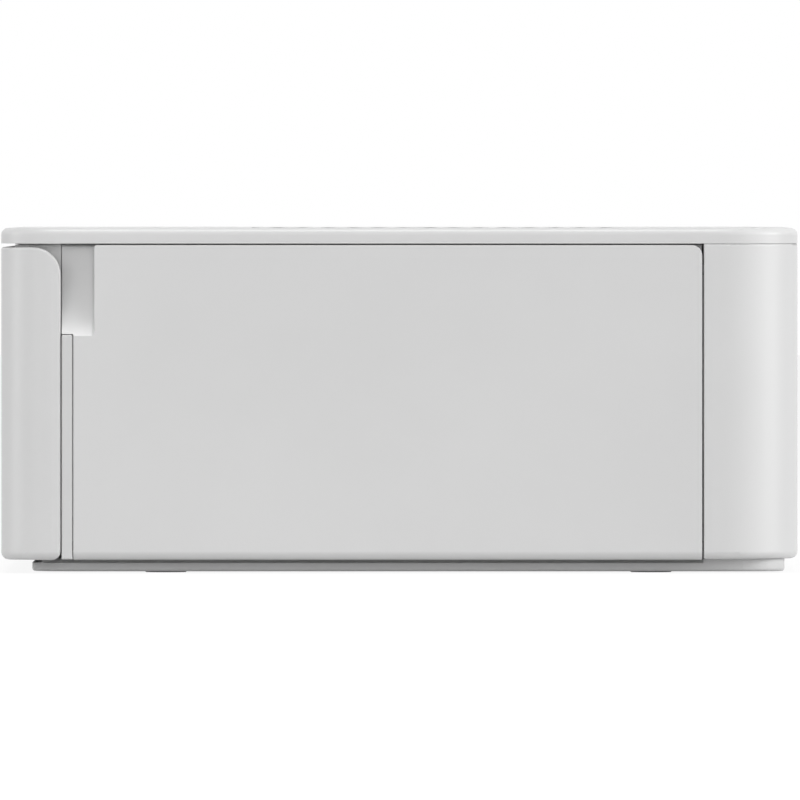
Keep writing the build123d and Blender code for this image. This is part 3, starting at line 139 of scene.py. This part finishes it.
def axes(tree, vector):
    """The X, Y and Z of a vector."""
    return place(tree, "SeparateXYZ", {0: vector}).outputs


def noise(tree, vector, scale, detail=2.0, roughness=0.5):
    """A noise value on a vector."""
    inputs = {"Vector": vector, "Scale": scale, "Detail": detail, "Roughness": roughness}
    return place(tree, "TexNoise", inputs).outputs[0]


def stretched_noise(tree, vector, scale, detail, roughness=0.5):
    """A noise value with a scale of its own along each axis."""
    scaled = place(tree, "Mapping", {"Vector": vector, "Scale": scale}).outputs[0]
    return noise(tree, scaled, 1.0, detail, roughness)


def distance_from(tree, value, middle):
    """How far a value is from a middle, either way."""
    return calc(tree, "ABSOLUTE", calc(tree, "SUBTRACT", value, middle))


def stripes(tree, value, count, low, high):
    """Even stripes, so many to each unit of a value, whose edges lie between low and high."""
    wave = calc(tree, "PINGPONG", calc(tree, "MULTIPLY", value, count), 0.5)
    return spread(tree, wave, low, high)


def emboss(tree, shader, height, depth):
    """Gives a surface the relief of a height, as deep as depth where the height goes from 0 to 1."""
    bump = place(tree, "Bump", {"Strength": 1.0, "Distance": depth, "Height": height})
    tree.links.new(bump.outputs[0], shader.inputs["Normal"])


def new_group(name, inputs, outputs):
    """An empty node group; returns it with its input sockets and its output node."""
    group = bpy.data.node_groups.new(name, "ShaderNodeTree")
    for label, value in inputs:
        socket = group.interface.new_socket(label, in_out="INPUT", socket_type="NodeSocketFloat")
        socket.default_value = value
    for label in outputs:
        group.interface.new_socket(label, in_out="OUTPUT", socket_type="NodeSocketFloat")
    entry = group.nodes.new("NodeGroupInput")
    leave = group.nodes.new("NodeGroupOutput")
    return group, entry.outputs, leave


def use_group(tree, group, **inputs):
    """Places a shared effect and sets its inputs; an underscore stands for a space in their names."""
    made = tree.nodes.new("ShaderNodeGroup")
    made.node_tree = group
    for name, value in inputs.items():
        made.inputs[name.replace("_", " ")].default_value = value
    return made.outputs


# ---------------------------------------------------------------- shared effects
def make_moulded_grain():
    """The fine spark-eroded grain of a mould, and the slow clouding of the plastic."""
    inputs = [("Grain Scale", 3000.0), ("Cloud Scale", 30.0)]
    group, entry, leave = new_group("moulded grain", inputs, ["Height", "Cloud"])
    here = spot(group)
    pits = noise(group, here, entry["Grain Scale"], detail=1.0)
    cells = place(group, "TexVoronoi", {"Vector": here, "Scale": entry["Grain Scale"]}).outputs["Distance"]
    cell_share = 0.35
    height = calc(group, "ADD", calc(group, "MULTIPLY", cells, cell_share), pits)
    cloud = noise(group, here, entry["Cloud Scale"], detail=3.0)
    feed(group, leave, {"Height": height, "Cloud": cloud})
    return group


def make_edge_wear():
    """A mask that is strong on sharp edges, broken up by noise."""
    inputs = [("Reach", 0.3 * MM), ("Patch Scale", 250.0)]
    group, entry, leave = new_group("edge wear", inputs, ["Mask"])
    rounded = place(group, "Bevel", {"Radius": entry["Reach"]}, samples=4).outputs[0]
    sharp = place(group, "NewGeometry").outputs["Normal"]
    # 1 on a flat face, less where a rounded edge would turn away from the sharp one
    match = place(group, "VectorMath", {0: rounded, 1: sharp}, operation="DOT_PRODUCT").outputs["Value"]
    edge = spread(group, match, low=0.995, high=0.85, smooth=True)
    cloud = noise(group, spot(group), entry["Patch Scale"], detail=4.0)
    patches = spread(group, cloud, low=0.4, high=0.65)
    feed(group, leave, {"Mask": calc(group, "MULTIPLY", edge, patches)})
    return group


def make_settled_dust():
    """A thin broken veil on faces that look up."""
    group, entry, leave = new_group("settled dust", [("Speck Scale", 900.0)], ["Mask"])
    coordinates = place(group, "TexCoord").outputs
    up = axes(group, coordinates["Normal"])["Z"]
    facing = spread(group, up, low=0.35, high=0.95, smooth=True)
    specks = noise(group, coordinates["Object"], entry["Speck Scale"], detail=5.0, roughness=0.7)
    drift = noise(group, coordinates["Object"], scale=45.0)
    veil = spread(group, calc(group, "MULTIPLY", specks, drift), low=0.2, high=0.42, smooth=True)
    feed(group, leave, {"Mask": calc(group, "MULTIPLY", facing, veil)})
    return group


def make_drawn_metal():
    """Fine lines along one axis of rolled or ground metal, and its slower changes of tone."""
    inputs = [("Along X", 60.0), ("Along Y", 2500.0), ("Along Z", 2500.0)]
    group, entry, leave = new_group("drawn metal", inputs, ["Height", "Tone"])
    here = spot(group)
    scales = {0: entry["Along X"], 1: entry["Along Y"], 2: entry["Along Z"]}
    scale = place(group, "CombineXYZ", scales).outputs[0]
    scaled = place(group, "VectorMath", {0: here, 1: scale}, operation="MULTIPLY").outputs[0]
    lines = noise(group, scaled, scale=1.0, detail=3.0, roughness=0.6)
    clouds = noise(group, here, scale=90.0, detail=4.0, roughness=0.6)
    feed(group, leave, {"Height": lines, "Tone": clouds})
    return group


moulded_grain = make_moulded_grain()
edge_wear = make_edge_wear()
settled_dust = make_settled_dust()
drawn_metal = make_drawn_metal()


# ---------------------------------------------------------------- finishes
finishes = {}
dust_tone = tone(176, 172, 165)


def new_finish(name, plain=()):
    """A material, kept under its name, with a Principled shader whose plain sockets are set."""
    finish = bpy.data.materials.new(name)
    finish.use_nodes = True
    shader = finish.node_tree.nodes["Principled BSDF"]
    for socket, value in dict(plain).items():
        shader.inputs[socket].default_value = value
    finishes[name] = finish
    return finish.node_tree, shader


def paler(colour, gain, lift=0.0):
    """A colour whose channels are multiplied and lifted, at most to white."""
    return tuple(min(1.0, channel * gain + lift) for channel in colour[:3]) + (1.0,)


def plastic(name, dark, light, rough, grain, depth, wear, dust):
    """Moulded plastic: clouded colour, grain in the gloss and the surface, worn edges, a little dust.

    The grain is given in cells to the metre and its depth in metres, wear and dust as shares of 1.
    """
    tree, shader = new_finish(name)
    grained = use_group(tree, moulded_grain, Grain_Scale=grain)
    colour = mix_tones(tree, spread(tree, grained["Cloud"], 0.35, 0.65), dark, light)
    worn = calc(tree, "MULTIPLY", use_group(tree, edge_wear)["Mask"], wear)
    colour = mix_tones(tree, worn, colour, paler(light, gain=1.12, lift=0.02))
    dusted = calc(tree, "MULTIPLY", use_group(tree, settled_dust)["Mask"], dust)
    colour = mix_tones(tree, dusted, colour, dust_tone)
    dust_matt = 0.3
    gloss = spread(tree, grained["Height"], 0.4, 0.9, rough - 0.03, rough + 0.03)
    gloss = calc(tree, "ADD", gloss, calc(tree, "MULTIPLY", dusted, dust_matt), clamp=True)
    feed(tree, shader, {"Base Color": colour, "Roughness": gloss})
    emboss(tree, shader, grained["Height"], depth)


def metal(name, dark, light, rough, along, depth, wear):
    """Drawn or ground metal: fine lines in its gloss and surface, cloudy tone, brighter edges.

    Along gives the changes to the metre on X, Y and Z: few of them along the lines, many across.
    """
    tree, shader = new_finish(name, {"Metallic": 1.0})
    drawn = use_group(tree, drawn_metal, Along_X=along[0], Along_Y=along[1], Along_Z=along[2])
    colour = mix_tones(tree, spread(tree, drawn["Tone"], 0.3, 0.7), dark, light)
    worn = calc(tree, "MULTIPLY", use_group(tree, edge_wear)["Mask"], wear)
    colour = mix_tones(tree, worn, colour, paler(light, gain=1.25))
    line_share = 0.6
    both = calc(tree, "ADD", calc(tree, "MULTIPLY", drawn["Height"], line_share), drawn["Tone"])
    gloss = spread(tree, both, 0.5, 1.1, rough - 0.06, rough + 0.08)
    feed(tree, shader, {"Base Color": colour, "Roughness": gloss})
    emboss(tree, shader, drawn["Height"], depth)


def make_window_finish():
    """Gloss black acrylic with the screen's area just showing through it."""
    tree, shader = new_finish("black_window", {"IOR": 1.45})
    low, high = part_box("display_panel")
    rim, soft_edge = 1.5 * MM, 0.15 * MM
    here = spot(tree)
    across = axes(tree, here)
    inside = 1.0
    for axis, start, end in (("X", low.x, high.x), ("Y", low.y, high.y)):
        half = (end - start) / 2 - rim
        away = distance_from(tree, across[axis], (start + end) / 2)
        inside = calc(tree, "MULTIPLY", spread(tree, away, half, half - soft_edge), inside)
    colour = mix_tones(tree, inside, tone(14, 14, 15), tone(27, 29, 34))
    smears = stretched_noise(tree, here, (30.0, 55.0, 30.0), detail=4.0, roughness=0.6)
    gloss = spread(tree, smears, 0.45, 0.75, out_low=0.05, out_high=0.13)
    feed(tree, shader, {"Base Color": colour, "Roughness": gloss})
    emboss(tree, shader, noise(tree, here, scale=18.0, detail=1.0), 0.02 * MM)


def make_board_finish():
    """Green lacquer over copper tracks, with tinned pads."""
    tree, shader = new_finish("board", {"Roughness": 0.32})
    grid = place(tree, "Mapping", {"Vector": spot(tree), "Scale": (240.0, 240.0, 1.0)}).outputs[0]
    inputs = {"Vector": grid, "Scale": 1.0, "Randomness": 0.55}
    cells = place(tree, "TexVoronoi", inputs, distance="CHEBYCHEV").outputs["Distance"]
    tracks = stripes(tree, cells, count=9.0, low=0.2, high=0.3)
    pads = spread(tree, cells, 0.1, 0.08)
    colour = mix_tones(tree, tracks, tone(12, 74, 38), tone(26, 104, 52))
    colour = mix_tones(tree, pads, colour, tone(196, 198, 196))
    feed(tree, shader, {"Base Color": colour, "Metallic": pads})
    emboss(tree, shader, calc(tree, "ADD", tracks, pads), 0.03 * MM)


def make_ceramic_finish():
    """White glazed ceramic, with the dark line that heats the ribbon and the leads on its two sides."""
    tree, shader = new_finish("ceramic", {"Coat Weight": 0.4})
    low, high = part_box("head_ceramic")
    line_half, leads_half, soft_edge = 0.75 * MM, 2.2 * MM, 0.1 * MM
    leads_per_metre = 2500.0
    here = spot(tree)
    across = axes(tree, here)
    away = distance_from(tree, across["Y"], (low.y + high.y) / 2)
    line = spread(tree, away, line_half, line_half - soft_edge)
    leads = stripes(tree, across["X"], leads_per_metre, 0.2, 0.3)
    leads = calc(tree, "MULTIPLY", leads, spread(tree, away, leads_half, leads_half - soft_edge))
    colour = mix_tones(tree, noise(tree, here, 120.0, detail=3.0), tone(226, 222, 212), tone(238, 236, 228))
    colour = mix_tones(tree, leads, colour, tone(178, 150, 92))
    colour = mix_tones(tree, line, colour, tone(48, 44, 46))
    gloss = spread(tree, line, 0.0, 1.0, out_low=0.3, out_high=0.1)
    feed(tree, shader, {"Base Color": colour, "Roughness": gloss})


def make_ribbon_finish():
    """Glossy magenta dye film, wound or stretched, with the fine lines of its edges and folds."""
    plain = {"Roughness": 0.18, "Coat Weight": 0.6, "Coat Roughness": 0.08}
    tree, shader = new_finish("ribbon_film", plain)
    here = spot(tree)
    wind = stretched_noise(tree, here, (900.0, 30.0, 30.0), detail=3.0)
    colour = mix_tones(tree, spread(tree, wind, 0.3, 0.7), tone(120, 16, 60), tone(158, 34, 84))
    feed(tree, shader, {"Base Color": colour})
    emboss(tree, shader, stretched_noise(tree, here, (60.0, 12.0, 12.0), detail=2.0), 0.2 * MM)


def make_cable_finish():
    """Flat cable: pale film over a row of tinned conductors."""
    tree, shader = new_finish("cable", {"Roughness": 0.4})
    wires_per_metre = 1000.0
    wires = stripes(tree, axes(tree, spot(tree))["Y"], wires_per_metre, 0.15, 0.25)
    colour = mix_tones(tree, wires, tone(222, 222, 218), tone(176, 178, 180))
    feed(tree, shader, {"Base Color": colour, "Metallic": calc(tree, "MULTIPLY", wires, 0.5)})
    emboss(tree, shader, wires, 0.05 * MM)


def make_display_finish():
    """The dark, faintly clouded face of the liquid-crystal panel."""
    tree, shader = new_finish("display")
    film = noise(tree, spot(tree), scale=40.0)
    colour = mix_tones(tree, film, tone(34, 36, 42), tone(46, 48, 54))
    gloss = spread(tree, film, 0.3, 0.7, out_low=0.15, out_high=0.3)
    feed(tree, shader, {"Base Color": colour, "Roughness": gloss})


plastic(
    "white_shell", tone(214, 214, 214), tone(217, 217, 217),
    rough=0.36, grain=3200.0, depth=0.004 * MM, wear=0.15, dust=0.03,
)
plastic(
    "white_base", tone(213, 213, 213), tone(217, 217, 217),
    rough=0.5, grain=2400.0, depth=0.008 * MM, wear=0.2, dust=0.05,
)
plastic(
    "inner_plastic", tone(208, 208, 208), tone(213, 213, 213),
    rough=0.45, grain=2800.0, depth=0.006 * MM, wear=0.2, dust=0.1,
)
plastic(
    "grey_button", tone(203, 203, 204), tone(208, 208, 209),
    rough=0.42, grain=3600.0, depth=0.004 * MM, wear=0.1, dust=0.04,
)
plastic(
    "dark_plastic", tone(50, 50, 52), tone(60, 60, 62),
    rough=0.48, grain=2200.0, depth=0.008 * MM, wear=0.35, dust=0.15,
)
plastic(
    "gear_plastic", tone(222, 218, 206), tone(230, 227, 217),
    rough=0.4, grain=1800.0, depth=0.006 * MM, wear=0.2, dust=0.05,
)
plastic(
    "rubber", tone(46, 46, 47), tone(58, 58, 59),
    rough=0.78, grain=1500.0, depth=0.02 * MM, wear=0.1, dust=0.3,
)
metal(
    "sheet_steel", tone(168, 170, 172), tone(196, 198, 199),
    rough=0.36, along=(60.0, 2600.0, 900.0), depth=0.002 * MM, wear=0.7,
)
metal(
    "shaft_steel", tone(196, 196, 197), tone(214, 214, 214),
    rough=0.2, along=(3200.0, 40.0, 40.0), depth=0.0015 * MM, wear=0.5,
)
metal(
    "screw_steel", tone(150, 150, 153), tone(182, 182, 184),
    rough=0.3, along=(1200.0, 1200.0, 200.0), depth=0.003 * MM, wear=0.9,
)
metal(
    "aluminium", tone(200, 201, 203), tone(218, 219, 220),
    rough=0.34, along=(40.0, 1800.0, 2600.0), depth=0.002 * MM, wear=0.4,
)
metal(
    "dull_pins", tone(108, 108, 110), tone(124, 124, 126),
    rough=0.5, along=(40.0, 3200.0, 40.0), depth=0.002 * MM, wear=0.2,
)
make_window_finish()
make_display_finish()
make_board_finish()
make_ceramic_finish()
make_ribbon_finish()
make_cable_finish()

# nodes whose finish differs from that of their slot
own_finish = {"door_hinge_pins": "dull_pins", "front_hinge_pins": "dull_pins"}

for name, slot in slot_of.items():
    materials = nodes[name].data.materials
    materials.clear()
    materials.append(finishes[own_finish.get(name, slot)])


# ---------------------------------------------------------------- piece helpers
def add_piece(name, shape, node, finish_name):
    """Turns a bmesh in millimetres into a finished piece that rides with a frame node."""
    bmesh.ops.scale(shape, vec=(MM, MM, MM), verts=shape.verts)
    bmesh.ops.recalc_face_normals(shape, faces=shape.faces)
    mesh = bpy.data.meshes.new(name)
    shape.to_mesh(mesh)
    shape.free()
    piece = bpy.data.objects.new(name, mesh)
    bpy.context.scene.collection.objects.link(piece)
    mesh.materials.append(finishes[finish_name])
    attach(piece, body_of[node])


def box_in_mm(node):
    """The lowest and the highest corner of a frame node, in millimetres."""
    low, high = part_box(node)
    return low / MM, high / MM


def round_corners(shape, corners, radius, steps):
    """Rounds some corners of a flat face."""
    bmesh.ops.bevel(
        shape, geom=corners, offset=radius, segments=steps, profile=0.5, affect="VERTICES", material=-1
    )


def raise_faces(shape, height=0.0):
    """Extrudes a flat shape upwards and returns the vertices of its upper side."""
    raised = bmesh.ops.extrude_face_region(shape, geom=shape.faces[:])["geom"]
    upper = [item for item in raised if isinstance(item, bmesh.types.BMVert)]
    bmesh.ops.translate(shape, vec=(0, 0, height), verts=upper)
    return upper


def rounded_plate(x_ends, y_ends, z_ends, front_radius, rear_radius, steps):
    """A plate between its two ends along each axis, its upright edges rounded."""
    plate = bmesh.new()
    size = (x_ends[1] - x_ends[0], y_ends[1] - y_ends[0], 1)
    middle = (sum(x_ends) / 2, sum(y_ends) / 2, z_ends[0])
    bmesh.ops.create_grid(plate, x_segments=1, y_segments=1, size=0.5)
    bmesh.ops.scale(plate, vec=size, verts=plate.verts)
    bmesh.ops.translate(plate, vec=middle, verts=plate.verts)
    corners = sorted(plate.verts, key=lambda vert: vert.co.y)
    front, rear = corners[:2], corners[2:]
    round_corners(plate, front, front_radius, steps)
    round_corners(plate, rear, rear_radius, steps)
    raise_faces(plate, z_ends[1] - z_ends[0])
    bmesh.ops.recalc_face_normals(plate, faces=plate.faces)
    return plate


def join(shapes):
    """One bmesh that holds all the given ones."""
    whole = bmesh.new()
    for shape in shapes:
        held = bpy.data.meshes.new("held")
        shape.to_mesh(held)
        shape.free()
        whole.from_mesh(held)
        bpy.data.meshes.remove(held)
    return whole


def carve(shape, cutter, operation):
    """The bmesh that a Boolean of two bmeshes leaves."""
    pair = []
    for each in (shape, cutter):
        mesh = bpy.data.meshes.new("carving")
        each.to_mesh(mesh)
        each.free()
        thing = bpy.data.objects.new("carving", mesh)
        bpy.context.scene.collection.objects.link(thing)
        pair.append(thing)
    change = pair[0].modifiers.new("carving", "BOOLEAN")
    change.operation = operation
    change.solver = "EXACT"
    change.object = pair[1]
    solved = pair[0].evaluated_get(bpy.context.evaluated_depsgraph_get())
    carved = bmesh.new()
    carved.from_mesh(solved.to_mesh())
    solved.to_mesh_clear()
    for thing in pair:
        mesh = thing.data
        bpy.data.objects.remove(thing)
        bpy.data.meshes.remove(mesh)
    return carved


# ---------------------------------------------------------------- top panel
keys = [name for name in nodes if name.startswith("button_")]
top = box_in_mm("top_cover")[1].z
key_top = box_in_mm("button_ok")[1].z
key_flange = 0.9  # how far the hidden rim of a key reaches past the edge of its top
sliver = 0.001  # by how much a full rounding falls short of half the width


def key_outline(name, gap=0.0):
    """The X ends and the Y ends of a key's top with a gap all round."""
    low, high = box_in_mm(name)
    inset = key_flange - gap
    return (low.x + inset, high.x - inset), (low.y + inset, high.y - inset)


def make_top_relief():
    """The field of shallow ridges on the top panel, open round the display and the keys."""
    side_margin, front_margin = 6.35, 16.15
    front_radius, rear_radius = 4.0, 8.2
    floor, valley, crest = top - 0.1, top - 0.06, top - 0.005
    ridges, steps_per_ridge = 26, 12
    cutter_z = (top - 0.4, top + 0.6)
    corner_steps = 12
    hole_gap = 0.25
    window_gap, window_radius, window_steps = 0.125, 3.1, 8

    low, high = box_in_mm("top_cover")
    x_ends = (low.x + side_margin, high.x - side_margin)
    y_ends = (low.y + front_margin, high.y - side_margin)
    length = y_ends[1] - y_ends[0]
    sheet = bmesh.new()
    bmesh.ops.create_grid(sheet, x_segments=1, y_segments=ridges * steps_per_ridge, size=0.5)
    bmesh.ops.scale(sheet, vec=(x_ends[1] - x_ends[0], length, 1), verts=sheet.verts)
    bmesh.ops.translate(sheet, vec=(0, sum(y_ends) / 2, floor), verts=sheet.verts)
    for vert in raise_faces(sheet):
        turn = math.pi * ridges * (vert.co.y - y_ends[0]) / length
        vert.co.z = valley + (crest - valley) * abs(math.sin(turn))
    bmesh.ops.recalc_face_normals(sheet, faces=sheet.faces)
    outline = rounded_plate(x_ends, y_ends, cutter_z, front_radius, rear_radius, corner_steps)
    sheet = carve(sheet, outline, "INTERSECT")

    low, high = box_in_mm("display_window")
    window_x = (low.x - window_gap, high.x + window_gap)
    window_y = (low.y - window_gap, high.y + window_gap)
    holes = [rounded_plate(window_x, window_y, cutter_z, window_radius, window_radius, window_steps)]
    for name in keys:
        key_x, key_y = key_outline(name, hole_gap)
        radius = min(key_x[1] - key_x[0], key_y[1] - key_y[0]) / 2 - sliver
        holes.append(rounded_plate(key_x, key_y, cutter_z, radius, radius, corner_steps))
    return carve(sheet, join(holes), "DIFFERENCE")


add_piece("top_relief", make_top_relief(), "top_cover", "white_shell")


# ---------------------------------------------------------------- key signs
# Each sign is drawn round its key's centre: x and y are a shape's place from there, turns in degrees.
sign_low = key_top - 0.005
sign_high = key_top + 0.03


def set_down(shape, x, y, z, turn):
    """Turns a shape about the upright axis, then moves it to its place."""
    matrix = Matrix.Translation((x, y, z)) @ Matrix.Rotation(math.radians(turn), 4, "Z")
    bmesh.ops.transform(shape, matrix=matrix, verts=shape.verts)
    return shape


def bar(x, y, width, depth):
    """A printed bar with rounded ends, its width along X and its depth along Y."""
    radius = min(width, depth) / 2 - sliver
    x_ends = (x - width / 2, x + width / 2)
    y_ends = (y - depth / 2, y + depth / 2)
    return rounded_plate(x_ends, y_ends, (sign_low, sign_high), radius, radius, steps=4)


def arrow(x, y, size, turn):
    """A printed arrowhead with soft corners, pointing towards +Y before it is turned."""
    softness = 0.18
    head = bmesh.new()
    bmesh.ops.create_circle(head, cap_ends=True, segments=3, radius=size)
    round_corners(head, head.verts[:], size * softness, steps=4)
    raise_faces(head, sign_high - sign_low)
    return set_down(head, x, y, sign_low, turn)


def ring(x, y, radius, line, first=0, last=360):
    """A printed ring, or its arc from one angle to another: a small section spun about its centre."""
    hoop = bmesh.new()
    whole = last - first >= 360
    inner, outer = radius - line / 2, radius + line / 2
    corners = [(inner, sign_low), (outer, sign_low), (outer, sign_high), (inner, sign_high)]
    verts = [hoop.verts.new((reach, 0, height)) for reach, height in corners]
    section = hoop.faces.new(verts)
    geom = section.edges[:] + verts if whole else [section] + section.edges[:] + verts
    if whole:
        hoop.faces.remove(section)
    set_down(hoop, 0, 0, 0, first)
    bmesh.ops.spin(
        hoop,
        geom=geom,
        cent=(0, 0, 0),
        axis=(0, 0, 1),
        angle=math.radians(last - first),
        steps=40,
        use_merge=whole,
    )
    bmesh.ops.translate(hoop, vec=(x, y, 0), verts=hoop.verts)
    bmesh.ops.recalc_face_normals(hoop, faces=hoop.faces)
    return hoop


signs = {
    "up": [arrow(0, -0.25, size=1.5, turn=0)],
    "down": [arrow(0, 0.25, size=1.5, turn=180)],
    "left": [arrow(0.25, 0, size=1.5, turn=90)],
    "right": [arrow(-0.25, 0, size=1.5, turn=-90)],
    "ok": [ring(0, 0, radius=2.2, line=0.42)],
    "power": [
        ring(0, 0, radius=1.7, line=0.4, first=130, last=410),
        bar(0, 1.3, width=0.4, depth=1.9),
    ],
    "menu": [bar(0, y, width=3.6, depth=0.38) for y in (-1.1, 0, 1.1)],
    "back": [
        ring(0.3, -0.25, radius=1.15, line=0.38, first=-90, last=90),
        bar(-0.75, 0.9, width=2.1, depth=0.38),
        bar(-0.35, -1.4, width=1.4, depth=0.38),
        arrow(-2.0, 0.9, size=0.85, turn=90),
    ],
    "print": [
        bar(-1.6, 0, width=0.36, depth=3.6),
        bar(1.6, 0, width=0.36, depth=3.6),
        bar(0, 1.75, width=3.4, depth=0.36),
        bar(0, -1.75, width=3.4, depth=0.36),
        bar(0, 0.5, width=1.9, depth=0.32),
        bar(0, -0.45, width=1.9, depth=0.32),
    ],
}

for key, shapes in signs.items():
    button = "button_" + key
    key_x, key_y = key_outline(button)
    sign = join(shapes)
    bmesh.ops.translate(sign, vec=(sum(key_x) / 2, sum(key_y) / 2, 0), verts=sign.verts)
    add_piece("mark_" + key, sign, button, "dark_plastic")


# ---------------------------------------------------------------- stage and light
def seen_ray(tree):
    """1 for rays from the camera, in a mirror or through glass, else 0."""
    rays = place(tree, "LightPath").outputs
    seen = calc(tree, "MAXIMUM", rays["Is Camera Ray"], rays["Is Glossy Ray"])
    return calc(tree, "MAXIMUM", seen, rays["Is Transmission Ray"])


def make_floor():
    """A wide pale floor that reads as white to the eye and keeps the printer's shadow."""
    radius, drop = 7.0, 0.02 * MM
    bounce, shaded, glow = 0.6, 0.13, 0.9
    disc = bmesh.new()
    bmesh.ops.create_circle(disc, cap_ends=True, segments=96, radius=radius)
    bmesh.ops.translate(disc, vec=(0, 0, -drop), verts=disc.verts)
    mesh = bpy.data.meshes.new("floor")
    disc.to_mesh(mesh)
    disc.free()
    floor = bpy.data.objects.new("floor", mesh)
    bpy.context.scene.collection.objects.link(floor)
    paper = bpy.data.materials.new("floor")
    paper.use_nodes = True
    tree = paper.node_tree
    tree.nodes.clear()
    seen = seen_ray(tree)
    pale = place(tree, "BsdfDiffuse", {"Color": (bounce, bounce, bounce, 1)}).outputs[0]
    shadow = place(tree, "BsdfDiffuse", {"Color": (shaded, shaded, shaded, 1)}).outputs[0]
    white = place(tree, "Emission", {"Color": (1, 1, 1, 1), "Strength": glow}).outputs[0]
    bright = place(tree, "AddShader", {0: shadow, 1: white}).outputs[0]
    mixed = place(tree, "MixShader", {0: seen, 1: pale, 2: bright}).outputs[0]
    place(tree, "OutputMaterial", {"Surface": mixed})
    mesh.materials.append(paper)


def make_world():
    """White to the eye, and a soft even light on the printer."""
    world = bpy.data.worlds.new("studio")
    world.use_nodes = True
    tree = world.node_tree
    tree.nodes.clear()
    seen = seen_ray(tree)
    soft = place(tree, "Background", {"Color": (1, 1, 1, 1), "Strength": 0.25}).outputs[0]
    white = place(tree, "Background", {"Color": (1, 1, 1, 1), "Strength": 1.0}).outputs[0]
    mixed = place(tree, "MixShader", {0: seen, 1: soft, 2: white}).outputs[0]
    place(tree, "OutputWorld", {"Surface": mixed})
    bpy.context.scene.world = world


def add_lamp(name, position, power):
    """A square soft lamp, one metre wide, that looks from its position at the printer's middle."""
    lamp = bpy.data.objects.new(name, bpy.data.lights.new(name, "AREA"))
    lamp.data.shape = "SQUARE"
    lamp.data.size = 1.0
    lamp.data.energy = power
    lamp.location = position
    towards = Vector((0, 0, 30 * MM)) - Vector(position)
    lamp.rotation_euler = towards.to_track_quat("-Z", "Y").to_euler()
    bpy.context.scene.collection.objects.link(lamp)


# name: position in metres, power in watts
lamps = {
    "front_lamp": ((0.2, -2.2, 0.5), 11.0),
    "front_corner_lamp": ((1.9, -1.1, 0.45), 6.3),
    "side_lamp": ((2.2, 0.0, 0.45), 7.8),
    "rear_corner_lamp": ((1.1, 1.9, 0.6), 6.4),
    "rear_lamp": ((0.2, 2.2, 0.6), 23.0),
    "top_lamp": ((0.6, 0.0, 2.1), 20.0),
}

make_floor()
make_world()
for lamp_name, (position, power) in lamps.items():
    add_lamp(lamp_name, position, power)
